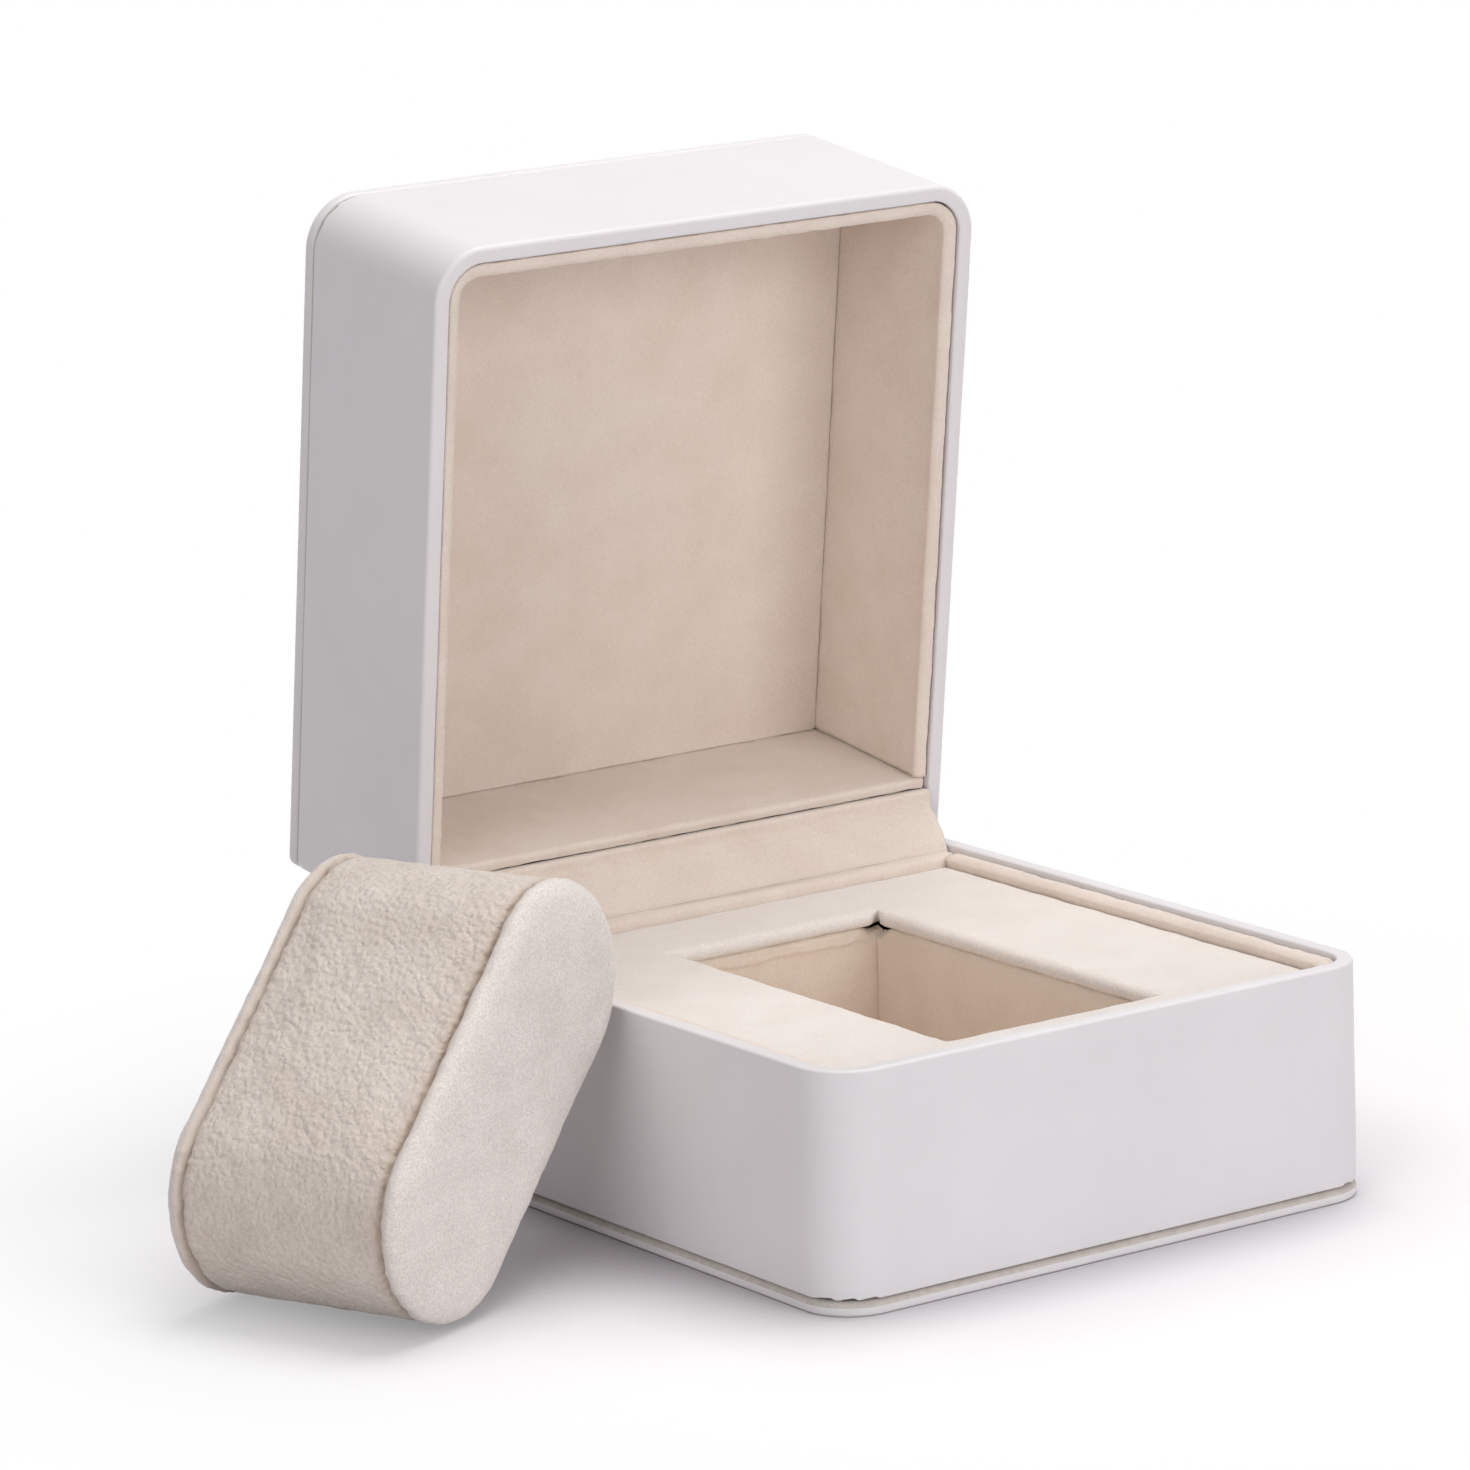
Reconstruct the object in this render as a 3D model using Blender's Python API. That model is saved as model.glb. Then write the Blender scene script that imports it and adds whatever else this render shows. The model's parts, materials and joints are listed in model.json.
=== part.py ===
# Watch travel case: a square box wrapped in leatherette and lined with suede cloth, with
# rounded front corners. Its lid is hinged along the back edge and stands open on its stop,
# and the watch pillow is lifted out and leans beside the box.
# Units are metres, +Z up. The origin is the centre of the base's underside, the front is -Y,
# and the hinge runs along X at the back edge. The lid's pieces are drawn shut, above the
# base, and the empty that they hang from turns them open.

import math

import bmesh
import bpy
from mathutils import Matrix

# Driving dimensions of the shell
CASE_WIDTH = 0.106
CASE_DEPTH = 0.1146
BASE_HEIGHT = 0.0385
LID_HEIGHT = 0.0389
OPEN_ANGLE = math.radians(82.3)
FRONT_CORNER_RADIUS = 0.0088
BACK_CORNER_RADIUS = 0.002
WALL_THICKNESS = 0.0027
BOTTOM_PANEL_THICKNESS = 0.0023
TOP_PANEL_THICKNESS = 0.0025
RIM_GAP = 0.0004              # between the two rims when the lid is shut
FIT_GAP = 0.0003              # between pieces that touch

# Suede linings, deck and well
BASE_LINER_THICKNESS = 0.0026
LID_LINER_THICKNESS = 0.0019
LINER_DROP = 0.0008           # how far the linings stay below the rim
BASE_BACK_DEPTH = 0.0092      # outer back face to the face of the lining, in the base
LID_BACK_DEPTH = 0.0105       # the same in the lid
DECK_DROP = 0.0028
DECK_THICKNESS = 0.0026
WELL_WIDTH = 0.0406
WELL_LENGTH = 0.0738
WELL_FRONT_OFFSET = 0.0147    # outer front face to the window in the deck
WELL_WALL_THICKNESS = 0.0018
WELL_FLOOR_THICKNESS = 0.003
DECK_SUPPORT_THICKNESS = 0.003
DECK_SUPPORT_LENGTH = 0.078
CEILING_DEPTH = 0.0299

# Rolled edges of the wrapped boards
RIM_EDGE_RADIUS = 0.0006
PANEL_EDGE_RADIUS = 0.0008
LINER_EDGE_RADIUS = 0.0007
DECK_EDGE_RADIUS = 0.0012
WELL_EDGE_RADIUS = 0.0006

# Hinges
HINGE_WIDTH = 0.014
HINGE_SPACING = 0.062
KNUCKLE_RADIUS = 0.0015
PIN_RADIUS = 0.0005
MIDDLE_KNUCKLE_WIDTH = 0.006
LEAF_THICKNESS = 0.0008
LEAF_TAB_OFFSET = 0.0048      # hinge axis to the far face of the leaf's tab
LEAF_TAB_LENGTH = 0.009
SPRING_THICKNESS = 0.0004
SPRING_DEPTH = 0.0014
RAIL_DROP = 0.0018            # rails stay this far below the rims, for the folded strip
STRIP_THICKNESS = 0.0008
STRIP_BULGE = 0.0006

# Watch pillow
PILLOW_LENGTH = 0.0769
PILLOW_THICKNESS = 0.0354
PILLOW_WIDTH = 0.043
PILLOW_END_THICKNESS = 0.005
PILLOW_END_EDGE_RADIUS = 0.002
PILLOW_BAND_INSET = 0.0006
PILLOW_BAND_EDGE_RADIUS = 0.001
PILLOW_LEAN = math.radians(47.0)
PILLOW_YAW = math.radians(22.9)
PILLOW_Y = 0.0044

ARC_STEPS = 7                 # facets in a quarter turn

# Finishes: base colour, roughness, metallic
FINISHES = {
    "white_leatherette": ((0.82, 0.80, 0.81), 0.38, 0.0),
    "cream_suede": ((0.72, 0.63, 0.53), 0.92, 0.0),
    "fibreboard": ((0.36, 0.25, 0.16), 0.8, 0.0),
    "spring_steel": ((0.55, 0.55, 0.56), 0.3, 1.0),
}

# Places that follow from the driving dimensions
SIDE = CASE_WIDTH / 2
BACK = CASE_DEPTH / 2
FRONT = -BACK
HINGE_HEIGHT = BASE_HEIGHT + RIM_GAP / 2
LID_RIM = BASE_HEIGHT + RIM_GAP
LID_TOP = LID_RIM + LID_HEIGHT
BASE_FLOOR = BOTTOM_PANEL_THICKNESS + FIT_GAP
LID_CEILING_BACK = LID_TOP - TOP_PANEL_THICKNESS - FIT_GAP
DECK_TOP = BASE_HEIGHT - DECK_DROP
DECK_UNDERSIDE = DECK_TOP - DECK_THICKNESS
LINER_INSET = WALL_THICKNESS + FIT_GAP
WELL_FRONT = FRONT + WELL_FRONT_OFFSET
WELL_BACK = WELL_FRONT + WELL_LENGTH
WELL_SIDE = WELL_WIDTH / 2


def clear_scene():
    for obj in list(bpy.data.objects):
        bpy.data.objects.remove(obj, do_unlink=True)


def new_collection(name):
    collection = bpy.data.collections.new(name)
    bpy.context.scene.collection.children.link(collection)
    return collection


def give_finish(obj, finish):
    color, roughness, metallic = FINISHES[finish]
    material = bpy.data.materials.new(f"{obj.name}_{finish}")
    material.use_nodes = True
    shader = material.node_tree.nodes["Principled BSDF"]
    shader.inputs["Base Color"].default_value = (*color, 1.0)
    shader.inputs["Roughness"].default_value = roughness
    shader.inputs["Metallic"].default_value = metallic
    obj.data.materials.clear()
    obj.data.materials.append(material)


def arc(center_x, center_y, radius, start, end, steps=ARC_STEPS):
    """Points on an arc between two angles in degrees."""
    points = []
    for i in range(steps + 1):
        angle = math.radians(start + (end - start) * i / steps)
        points.append((center_x + radius * math.cos(angle), center_y + radius * math.sin(angle)))
    return points


def case_outline(inset, back=BACK):
    """The case's plan moved inwards by inset, with its back edge at the given place."""
    front_radius = FRONT_CORNER_RADIUS - inset
    back_radius = max(BACK_CORNER_RADIUS - inset, BACK_CORNER_RADIUS / 4)
    side = SIDE - inset
    front = FRONT + inset
    points = arc(side - front_radius, front + front_radius, front_radius, -90, 0)
    points += arc(side - back_radius, back - back_radius, back_radius, 0, 90, 2)
    points += arc(-side + back_radius, back - back_radius, back_radius, 90, 180, 2)
    points += arc(-side + front_radius, front + front_radius, front_radius, 180, 270)
    return points


def u_outline(inset, thickness, arm_end):
    """A lining that runs down one side, round the front corners and up the other side."""
    outer_radius = FRONT_CORNER_RADIUS - inset
    inner_radius = outer_radius - thickness
    side = SIDE - inset
    center_x = side - outer_radius
    center_y = FRONT + inset + outer_radius
    points = [(-side, arm_end)]
    points += arc(-center_x, center_y, outer_radius, 180, 270)
    points += arc(center_x, center_y, outer_radius, 270, 360)
    points += [(side, arm_end), (side - thickness, arm_end)]
    points += arc(center_x, center_y, inner_radius, 360, 270)
    points += arc(-center_x, center_y, inner_radius, 270, 180)
    points += [(-side + thickness, arm_end)]
    return points


def rectangle(x0, x1, y0, y1):
    return [(x0, y0), (x1, y0), (x1, y1), (x0, y1)]


def stadium(length, thickness):
    """Two half circles joined by straight sides, long along X."""
    half = (length - thickness) / 2
    right = arc(half, 0, thickness / 2, -90, 90, 2 * ARC_STEPS)
    left = arc(-half, 0, thickness / 2, 90, 270, 2 * ARC_STEPS)
    return right + left


def hang_from(obj, empty):
    """Parent a piece that is drawn in the world's frame to an empty, before it turns."""
    obj.parent = empty
    obj.matrix_parent_inverse = Matrix.Translation(-empty.location)


def board(name, loops, bottom, top, edge_radius, finish, collection, along_x=False):
    """A wrapped board: its outline and holes, filled and extruded, with rolled edges.

    The outline lies in XY and the thickness runs up Z. With along_x the outline lies in YZ
    and the thickness runs along X.
    """
    curve = bpy.data.curves.new(name + "_outline", "CURVE")
    curve.dimensions = "2D"
    curve.fill_mode = "BOTH"
    curve.extrude = (top - bottom) / 2 - edge_radius
    curve.bevel_depth = edge_radius
    curve.bevel_resolution = 1
    curve.offset = -edge_radius
    for loop in loops:
        spline = curve.splines.new("POLY")
        spline.points.add(len(loop) - 1)
        for point, (x, y) in zip(spline.points, loop):
            point.co = (x, y, 0.0, 1.0)
        spline.use_cyclic_u = True
    outline = bpy.data.objects.new(name + "_outline", curve)
    collection.objects.link(outline)
    evaluated = outline.evaluated_get(bpy.context.evaluated_depsgraph_get())
    mesh = bpy.data.meshes.new_from_object(evaluated)
    bpy.data.objects.remove(outline, do_unlink=True)
    bpy.data.curves.remove(curve)
    weld(mesh)
    mesh.name = name
    obj = bpy.data.objects.new(name, mesh)
    collection.objects.link(obj)
    if along_x:
        obj.rotation_euler = (math.pi / 2, 0.0, math.pi / 2)
        obj.location = ((bottom + top) / 2, 0.0, 0.0)
    else:
        obj.location = (0.0, 0.0, (bottom + top) / 2)
    if finish:
        give_finish(obj, finish)
    return obj


def weld(mesh):
    """Join the loose caps of a filled curve, and point all faces outwards."""
    edit = bmesh.new()
    edit.from_mesh(mesh)
    bmesh.ops.remove_doubles(edit, verts=edit.verts, dist=0.000005)
    bmesh.ops.recalc_face_normals(edit, faces=edit.faces)
    edit.to_mesh(mesh)
    edit.free()


def rod(name, radius, length, location, collection, finish=None):
    """A straight round rod along X."""
    edit = bmesh.new()
    bmesh.ops.create_cone(edit, cap_ends=True, segments=16, radius1=radius, radius2=radius,
                          depth=length, matrix=Matrix.Rotation(math.pi / 2, 4, "Y"))
    mesh = bpy.data.meshes.new(name)
    edit.to_mesh(mesh)
    edit.free()
    mesh.shade_smooth()
    mesh.set_sharp_from_angle(angle=math.radians(40))
    obj = bpy.data.objects.new(name, mesh)
    obj.location = location
    collection.objects.link(obj)
    if finish:
        give_finish(obj, finish)
    return obj


def cutter_box(name, x0, x1, y0, y1, z0, z1, cutters):
    """A block that cuts, drawn as wire."""
    edit = bmesh.new()
    bmesh.ops.create_cube(edit, size=1.0)
    bmesh.ops.scale(edit, vec=(x1 - x0, y1 - y0, z1 - z0), verts=edit.verts)
    mesh = bpy.data.meshes.new(name)
    edit.to_mesh(mesh)
    edit.free()
    obj = bpy.data.objects.new(name, mesh)
    obj.location = ((x0 + x1) / 2, (y0 + y1) / 2, (z0 + z1) / 2)
    obj.hide_render = True
    obj.display_type = "WIRE"
    cutters.objects.link(obj)
    return obj


def boolean(obj, other, operation):
    modifier = obj.modifiers.new(operation.lower(), "BOOLEAN")
    modifier.operation = operation
    modifier.object = other
    modifier.solver = "EXACT"
    return modifier


def hinge_centers():
    return {"left": -HINGE_SPACING / 2, "right": HINGE_SPACING / 2}


def build_base_shell(case, cutters):
    """Bottom panel, wall ring with hinge notches, and the rail that carries the hinges."""
    board("base_bottom_panel", [case_outline(0.0)], 0.0, BOTTOM_PANEL_THICKNESS,
          PANEL_EDGE_RADIUS, "white_leatherette", case)
    wall = board("base_wall", [case_outline(0.0), case_outline(WALL_THICKNESS, BACK - WALL_THICKNESS)],
                 BASE_FLOOR, BASE_HEIGHT, RIM_EDGE_RADIUS, "white_leatherette", case)
    rail_front = BACK - BASE_BACK_DEPTH + BASE_LINER_THICKNESS + FIT_GAP
    rail_side = SIDE - LINER_INSET
    rail = board("base_hinge_rail",
                 [rectangle(-rail_side, rail_side, rail_front, BACK - LINER_INSET)],
                 BASE_FLOOR, HINGE_HEIGHT - RAIL_DROP, 0.0002, "fibreboard", case)
    for side, center in hinge_centers().items():
        notch = cutter_box(f"base_notch_{side}", *hinge_notch_x(center),
                           BACK - 2 * WALL_THICKNESS, BACK + WALL_THICKNESS,
                           HINGE_HEIGHT - notch_depth(), HINGE_HEIGHT + WALL_THICKNESS, cutters)
        boolean(wall, notch, "DIFFERENCE")
        slot = cutter_box(f"base_slot_{side}", *hinge_notch_x(center), *leaf_slot_y(),
                          HINGE_HEIGHT - LEAF_TAB_LENGTH - FIT_GAP, HINGE_HEIGHT, cutters)
        boolean(rail, slot, "DIFFERENCE")


def hinge_notch_x(center):
    return center - HINGE_WIDTH / 2 - FIT_GAP, center + HINGE_WIDTH / 2 + FIT_GAP


def notch_depth():
    """From the hinge axis to the bottom of the notch, below the knuckles and the spring."""
    return KNUCKLE_RADIUS + SPRING_THICKNESS + 2 * FIT_GAP


def leaf_slot_y():
    tab_far = BACK - LEAF_TAB_OFFSET
    return tab_far - FIT_GAP, tab_far + LEAF_THICKNESS + FIT_GAP


def build_base_lining(case):
    """Suede covered boards: the U round the sides and front, and the one at the back."""
    top = BASE_HEIGHT - LINER_DROP
    back_face = BACK - BASE_BACK_DEPTH
    board("base_liner", [u_outline(LINER_INSET, BASE_LINER_THICKNESS, back_face - FIT_GAP)],
          BASE_FLOOR, top, LINER_EDGE_RADIUS, "cream_suede", case)
    half = SIDE - LINER_INSET
    board("base_back_liner", [rectangle(-half, half, back_face, back_face + BASE_LINER_THICKNESS)],
          BASE_FLOOR, top, LINER_EDGE_RADIUS, "cream_suede", case)


def build_deck(case):
    """The padded deck with its window, and the strips that hold it up at the sides."""
    liner_face = LINER_INSET + BASE_LINER_THICKNESS
    deck_back = BACK - BASE_BACK_DEPTH - FIT_GAP
    window = rectangle(-WELL_SIDE, WELL_SIDE, WELL_FRONT, WELL_BACK)
    board("deck_panel", [case_outline(liner_face + FIT_GAP, deck_back), window],
          DECK_UNDERSIDE, DECK_TOP, DECK_EDGE_RADIUS, "cream_suede", case)
    outer = SIDE - liner_face - FIT_GAP
    inner = outer - DECK_SUPPORT_THICKNESS
    middle = (WELL_FRONT + WELL_BACK) / 2
    y0 = middle - DECK_SUPPORT_LENGTH / 2
    y1 = middle + DECK_SUPPORT_LENGTH / 2
    for side, x0, x1 in (("left", -outer, -inner), ("right", inner, outer)):
        board(f"deck_support_{side}", [rectangle(x0, x1, y0, y1)], BASE_FLOOR,
              DECK_UNDERSIDE - FIT_GAP, 0.0002, "fibreboard", case)


def build_well(case):
    """The four wrapped boards round the well, under the window, and its padded floor."""
    inner_x = WELL_SIDE + FIT_GAP
    outer_x = inner_x + WELL_WALL_THICKNESS
    front = WELL_FRONT - FIT_GAP
    back = WELL_BACK + FIT_GAP
    walls = {
        "well_wall_left": rectangle(-outer_x, -inner_x, front, back),
        "well_wall_right": rectangle(inner_x, outer_x, front, back),
        "well_wall_front": rectangle(-outer_x, outer_x, front - FIT_GAP - WELL_WALL_THICKNESS,
                                     front - FIT_GAP),
        "well_wall_back": rectangle(-outer_x, outer_x, back + FIT_GAP,
                                    back + FIT_GAP + WELL_WALL_THICKNESS),
    }
    for name, outline in walls.items():
        board(name, [outline], BASE_FLOOR, DECK_UNDERSIDE - FIT_GAP, WELL_EDGE_RADIUS,
              "cream_suede", case)
    board("well_floor", [rectangle(-WELL_SIDE, WELL_SIDE, WELL_FRONT, WELL_BACK)], BASE_FLOOR,
          BASE_FLOOR + WELL_FLOOR_THICKNESS, WELL_EDGE_RADIUS, "cream_suede", case)


def build_lid(case, cutters, pivot):
    """The lid's shell, lining and rail, drawn shut and hung from the pivot."""
    wall_top = LID_CEILING_BACK
    pieces = [board("lid_top_panel", [case_outline(0.0)], LID_TOP - TOP_PANEL_THICKNESS, LID_TOP,
                    PANEL_EDGE_RADIUS, "white_leatherette", case)]
    wall = board("lid_wall", [case_outline(0.0), case_outline(WALL_THICKNESS, BACK - WALL_THICKNESS)],
                 LID_RIM, wall_top, RIM_EDGE_RADIUS, "white_leatherette", case)
    liner_bottom = LID_RIM + LINER_DROP
    back_face = BACK - LID_BACK_DEPTH
    pieces.append(board("lid_liner",
                        [u_outline(LINER_INSET, LID_LINER_THICKNESS, back_face - FIT_GAP)],
                        liner_bottom, wall_top, LINER_EDGE_RADIUS, "cream_suede", case))
    half = SIDE - LINER_INSET
    pieces.append(board("lid_back_liner",
                        [rectangle(-half, half, back_face, back_face + LID_LINER_THICKNESS)],
                        liner_bottom, wall_top, LINER_EDGE_RADIUS, "cream_suede", case))
    ceiling_inset = LINER_INSET + LID_LINER_THICKNESS + FIT_GAP
    pieces.append(board("lid_ceiling_panel", [case_outline(ceiling_inset, back_face - FIT_GAP)],
                        LID_RIM + CEILING_DEPTH, wall_top, LINER_EDGE_RADIUS, "cream_suede", case))
    rail = board("lid_hinge_rail",
                 [rectangle(-half, half, back_face + LID_LINER_THICKNESS + FIT_GAP,
                            BACK - LINER_INSET)],
                 HINGE_HEIGHT + RAIL_DROP, wall_top, 0.0002, "fibreboard", case)
    for side, center in hinge_centers().items():
        notch = cutter_box(f"lid_notch_{side}", *hinge_notch_x(center),
                           BACK - 2 * WALL_THICKNESS, BACK + WALL_THICKNESS,
                           HINGE_HEIGHT - WALL_THICKNESS,
                           HINGE_HEIGHT + KNUCKLE_RADIUS + FIT_GAP, cutters)
        boolean(wall, notch, "DIFFERENCE")
        slot = cutter_box(f"lid_slot_{side}", *hinge_notch_x(center), *leaf_slot_y(),
                          HINGE_HEIGHT, HINGE_HEIGHT + LEAF_TAB_LENGTH + FIT_GAP, cutters)
        boolean(rail, slot, "DIFFERENCE")
        hang_from(notch, pivot)
        hang_from(slot, pivot)
    for obj in pieces + [wall, rail]:
        hang_from(obj, pivot)


def leaf_plate_outline(direction):
    """Section of a leaf: a tab that stands in the rail's slot, folded towards the axis."""
    tab_far = BACK - LEAF_TAB_OFFSET
    tab_near = tab_far + LEAF_THICKNESS
    fold_end = BACK - KNUCKLE_RADIUS - 2 * FIT_GAP
    outer = HINGE_HEIGHT + direction * KNUCKLE_RADIUS
    inner = outer - direction * LEAF_THICKNESS
    tip = HINGE_HEIGHT + direction * LEAF_TAB_LENGTH
    return [(tab_far, tip), (tab_near, tip), (tab_near, outer), (fold_end, outer),
            (fold_end, inner), (tab_far, inner)]


def knuckle_outlines(direction):
    """Section of a knuckle: a tongue from the leaf that runs into a pierced barrel."""
    root = BACK - KNUCKLE_RADIUS - 4 * FIT_GAP
    inner_height = KNUCKLE_RADIUS - LEAF_THICKNESS
    meeting = math.degrees(math.asin(inner_height / KNUCKLE_RADIUS))
    sweep = arc(BACK, 0.0, KNUCKLE_RADIUS, -90, 180 + meeting, 3 * ARC_STEPS)
    outline = [(root, -KNUCKLE_RADIUS)] + sweep + [(root, -inner_height)]
    hole = arc(BACK, 0.0, PIN_RADIUS + FIT_GAP, 0, 360 - 360 / 16, 15)
    return [[(y, HINGE_HEIGHT - direction * z) for y, z in loop] for loop in (outline, hole)]


def build_leaf(name, center, direction, spans, case, cutters):
    """A leaf and its knuckles, joined into one solid."""
    leaf = board(name, [leaf_plate_outline(direction)], center - HINGE_WIDTH / 2,
                 center + HINGE_WIDTH / 2, 0.0, "spring_steel", case, along_x=True)
    knuckles = []
    for i, (x0, x1) in enumerate(spans):
        knuckle = board(f"{name}_knuckle_{i}", knuckle_outlines(direction), center + x0,
                        center + x1, 0.0, None, cutters, along_x=True)
        knuckle.hide_render = True
        knuckle.display_type = "WIRE"
        boolean(leaf, knuckle, "UNION")
        knuckles.append(knuckle)
    return [leaf] + knuckles


def build_hinges(case, cutters, pivot):
    """Two small steel hinges, each with its pin and the flat spring under its knuckles."""
    middle = MIDDLE_KNUCKLE_WIDTH / 2
    end = HINGE_WIDTH / 2
    lower_spans = [(-middle, middle)]
    upper_spans = [(-end, -middle - FIT_GAP), (middle + FIT_GAP, end)]
    for side, center in hinge_centers().items():
        build_leaf(f"hinge_leaf_lower_{side}", center, -1, lower_spans, case, cutters)
        upper = build_leaf(f"hinge_leaf_upper_{side}", center, 1, upper_spans, case, cutters)
        for obj in upper:
            hang_from(obj, pivot)
        rod(f"hinge_pin_{side}", PIN_RADIUS, HINGE_WIDTH, (center, BACK, HINGE_HEIGHT), case,
            "spring_steel")
        spring_top = HINGE_HEIGHT - KNUCKLE_RADIUS - FIT_GAP
        board(f"hinge_spring_{side}",
              [rectangle(center - end, center + end, BACK - WALL_THICKNESS,
                         BACK - WALL_THICKNESS + SPRING_DEPTH)],
              spring_top - SPRING_THICKNESS, spring_top, 0.0, "spring_steel", case)


def strip_section():
    """Section of the suede strip: a shallow bow from the base's rail to the lid's rail."""
    reach = BASE_BACK_DEPTH - BASE_LINER_THICKNESS - 2 * FIT_GAP
    lid_reach = LID_BACK_DEPTH - LID_LINER_THICKNESS - 4 * FIT_GAP
    seat = RAIL_DROP - FIT_GAP - STRIP_THICKNESS / 2
    start = (BACK - reach, HINGE_HEIGHT - seat)
    sine, cosine = math.sin(OPEN_ANGLE), math.cos(OPEN_ANGLE)
    end = (BACK - lid_reach * cosine + seat * sine, HINGE_HEIGHT + lid_reach * sine + seat * cosine)
    run_y, run_z = end[0] - start[0], end[1] - start[1]
    length = math.hypot(run_y, run_z)
    normal = (-run_z / length, run_y / length)
    near, far = [], []
    steps = 2 * ARC_STEPS
    for i in range(steps + 1):
        along = i / steps
        bow = STRIP_BULGE * 4 * along * (1 - along)
        for points, offset in ((near, STRIP_THICKNESS / 2), (far, -STRIP_THICKNESS / 2)):
            points.append((start[0] + run_y * along + normal[0] * (bow + offset),
                           start[1] + run_z * along + normal[1] * (bow + offset)))
    return far + near[::-1]


def build_cover_strip(case):
    half = SIDE - LINER_INSET
    board("hinge_cover_strip", [strip_section()], -half, half, 0.0, "cream_suede", case,
          along_x=True)


def build_pillow(case):
    """Two stadium shaped end panels and the padded band between them, leaning at the left."""
    half_run = (PILLOW_LENGTH - PILLOW_THICKNESS) / 2
    half_width = PILLOW_WIDTH / 2
    sine, cosine = math.sin(PILLOW_LEAN), math.cos(PILLOW_LEAN)
    yaw_sine, yaw_cosine = math.sin(PILLOW_YAW), math.cos(PILLOW_YAW)
    edge = PILLOW_END_EDGE_RADIUS
    reach = (half_run * sine * yaw_cosine + (PILLOW_THICKNESS / 2 - edge) * yaw_cosine
             + (half_width - edge) * yaw_sine + edge)
    stand = bpy.data.objects.new("pillow_stand", None)
    stand.location = (-SIDE - FIT_GAP - reach, PILLOW_Y, PILLOW_THICKNESS / 2 + half_run * cosine)
    long_way = (sine * yaw_cosine, sine * yaw_sine, cosine)
    face_way = (-cosine * yaw_cosine, -cosine * yaw_sine, sine)
    cross_way = (yaw_sine, -yaw_cosine, 0.0)
    frame = Matrix((long_way, face_way, cross_way)).transposed()
    stand.rotation_euler = frame.to_euler()
    case.objects.link(stand)
    band_half = half_width - PILLOW_END_THICKNESS - FIT_GAP
    band = stadium(PILLOW_LENGTH - 2 * PILLOW_BAND_INSET, PILLOW_THICKNESS - 2 * PILLOW_BAND_INSET)
    rim = stadium(PILLOW_LENGTH, PILLOW_THICKNESS)
    pieces = [
        board("pillow_band", [band], -band_half, band_half, PILLOW_BAND_EDGE_RADIUS,
              "cream_suede", case),
        board("pillow_end_front", [rim], half_width - PILLOW_END_THICKNESS, half_width, edge,
              "cream_suede", case),
        board("pillow_end_rear", [rim], -half_width, -half_width + PILLOW_END_THICKNESS, edge,
              "cream_suede", case),
    ]
    for obj in pieces:
        obj.parent = stand


def main():
    clear_scene()
    case = new_collection("watch_travel_case")
    cutters = new_collection("cutters")
    pivot = bpy.data.objects.new("lid_pivot", None)
    pivot.location = (0.0, BACK, HINGE_HEIGHT)
    case.objects.link(pivot)
    build_base_shell(case, cutters)
    build_base_lining(case)
    build_deck(case)
    build_well(case)
    build_lid(case, cutters, pivot)
    build_hinges(case, cutters, pivot)
    build_cover_strip(case)
    build_pillow(case)
    pivot.rotation_euler = (-OPEN_ANGLE, 0.0, 0.0)
    bpy.context.view_layer.update()


main()
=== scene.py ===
# Watch travel case, open, with its watch pillow leaning beside it.
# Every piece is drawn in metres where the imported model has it. Lid pieces are drawn shut and
# then turned open, and pillow pieces are drawn upright and then leaned.
import json
import math

import bmesh
import bpy
import numpy as np
from mathutils import Matrix, Vector


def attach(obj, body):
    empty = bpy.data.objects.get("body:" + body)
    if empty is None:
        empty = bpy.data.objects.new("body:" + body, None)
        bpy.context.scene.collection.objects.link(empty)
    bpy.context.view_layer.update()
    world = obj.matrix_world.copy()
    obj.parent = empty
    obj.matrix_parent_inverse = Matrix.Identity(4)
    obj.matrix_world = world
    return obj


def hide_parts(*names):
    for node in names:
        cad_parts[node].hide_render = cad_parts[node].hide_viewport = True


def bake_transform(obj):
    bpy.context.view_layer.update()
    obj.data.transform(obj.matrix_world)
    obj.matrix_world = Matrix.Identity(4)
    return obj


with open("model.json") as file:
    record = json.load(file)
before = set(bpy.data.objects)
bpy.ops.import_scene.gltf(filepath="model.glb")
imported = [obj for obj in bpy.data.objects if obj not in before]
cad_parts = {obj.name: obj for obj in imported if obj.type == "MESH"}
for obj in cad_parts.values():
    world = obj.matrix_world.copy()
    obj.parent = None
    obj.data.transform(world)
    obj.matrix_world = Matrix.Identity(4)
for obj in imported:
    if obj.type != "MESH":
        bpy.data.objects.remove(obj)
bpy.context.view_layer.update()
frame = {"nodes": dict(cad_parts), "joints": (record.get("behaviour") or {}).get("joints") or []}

mm = 0.001
nodes = frame["nodes"]
hinge = frame["joints"][0]
hingePoint = np.array(hinge["pos_m"])
openAngle = math.radians(max(hinge["range_deg"]))
fitGap = 0.3 * mm             # between pieces that touch


# Where things are

def meshPoints(obj):
    flat = np.empty(len(obj.data.vertices) * 3)
    obj.data.vertices.foreach_get("co", flat)
    return flat.reshape(-1, 3)


def aboutHinge(points, angle):
    # Turned about the hinge line: y and z turn by the angle round its point
    y = points[..., 1] - hingePoint[1]
    z = points[..., 2] - hingePoint[2]
    c, s = math.cos(angle), math.sin(angle)
    return np.stack([points[..., 0], hingePoint[1] + y * c - z * s, hingePoint[2] + y * s + z * c], -1)


def openLid(points):
    return aboutHinge(points, -openAngle)


def asIs(points):
    return points


def boxOf(node, place=asIs):
    points = place(meshPoints(nodes[node]))
    return points.min(0), points.max(0)


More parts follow.
